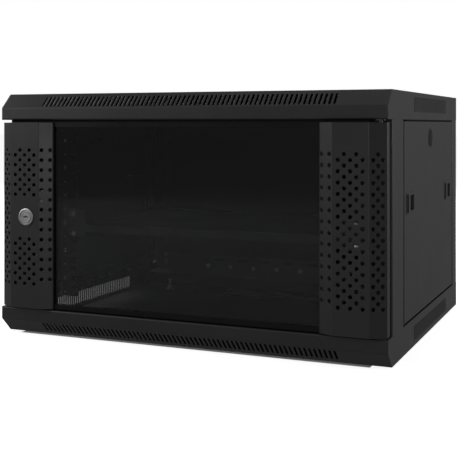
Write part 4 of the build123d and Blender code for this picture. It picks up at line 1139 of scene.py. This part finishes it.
def makeBackground():
    # white to the camera, a faint light to everything else
    world = bpy.data.worlds.new("studio")
    scene.world = world
    world.use_nodes = True
    tree = world.node_tree
    back = tree.nodes["Background"]
    path = addNode(tree, "ShaderNodeLightPath", (-4, 0))
    ambient = stageLook["ambient"]
    level = mathStep(tree, "MULTIPLY", path.outputs["Is Camera Ray"], 1.0 - ambient, (-2, 0))
    feed(tree, back.inputs["Strength"], mathStep(tree, "ADD", level, ambient, (-1, 0)))
    feed(tree, back.inputs["Color"], (1.0, 1.0, 1.0))


# "from" is the turn from the front and the climb, in degrees; lengths in metres, power in watts
lampLook = {
    "leftLamp": {"from": (-46, 20), "reach": 3.0, "size": (1.4, 1.4), "power": 21.0},
    "frontLamp": {"from": (17, 8), "reach": 3.0, "size": (0.5, 0.9), "power": 7.5},
    "rightLamp": {"from": (116, 12), "reach": 3.0, "size": (1.6, 1.2), "power": 24.0},
    "backLamp": {"from": (196, 30), "reach": 3.0, "size": (2.0, 1.4), "power": 46.0},
    "fillLamp": {"from": (-105, 25), "reach": 3.0, "size": (1.4, 1.4), "power": 30.0},
    "topLamp": {"from": (10, 85), "reach": 2.6, "size": (2.0, 2.0), "power": 4.0},
}


def makeLamp(name, look):
    # aimed at the cabinet's middle
    lamp = bpy.data.lights.new(name, "AREA")
    lamp.shape = "RECTANGLE"
    lamp.size, lamp.size_y = look["size"]
    lamp.energy = look["power"]
    turn, climb = (math.radians(v) for v in look["from"])
    away = Vector((math.sin(turn) * math.cos(climb), -math.cos(turn) * math.cos(climb), math.sin(climb)))
    middle = (Vector(cadBox[0]) + Vector(cadBox[1])) / 2
    thing = placeObject(name, lamp)
    thing.location = middle + away * look["reach"]
    thing.rotation_euler = (-away).to_track_quat("-Z", "Y").to_euler()


cameraLook = {"at": (0.59542, -1.56629, 0.3221), "turn": 24.67, "lens": 79.1, "sensor": 36.0,
              "shift": (0.1157, -0.2298)}


def makeCamera():
    lens = bpy.data.cameras.new("camera")
    lens.lens = cameraLook["lens"]
    lens.sensor_width = cameraLook["sensor"]
    lens.shift_x, lens.shift_y = cameraLook["shift"]
    camera = placeObject("camera", lens)
    camera.location = cameraLook["at"]
    camera.rotation_euler = (math.radians(90), 0, math.radians(cameraLook["turn"]))
    scene.camera = camera


makeFloor()
makeBackground()
for name, look in lampLook.items():
    makeLamp(name, look)
makeCamera()
scene.view_settings.view_transform = "Standard"
print("stage ready")
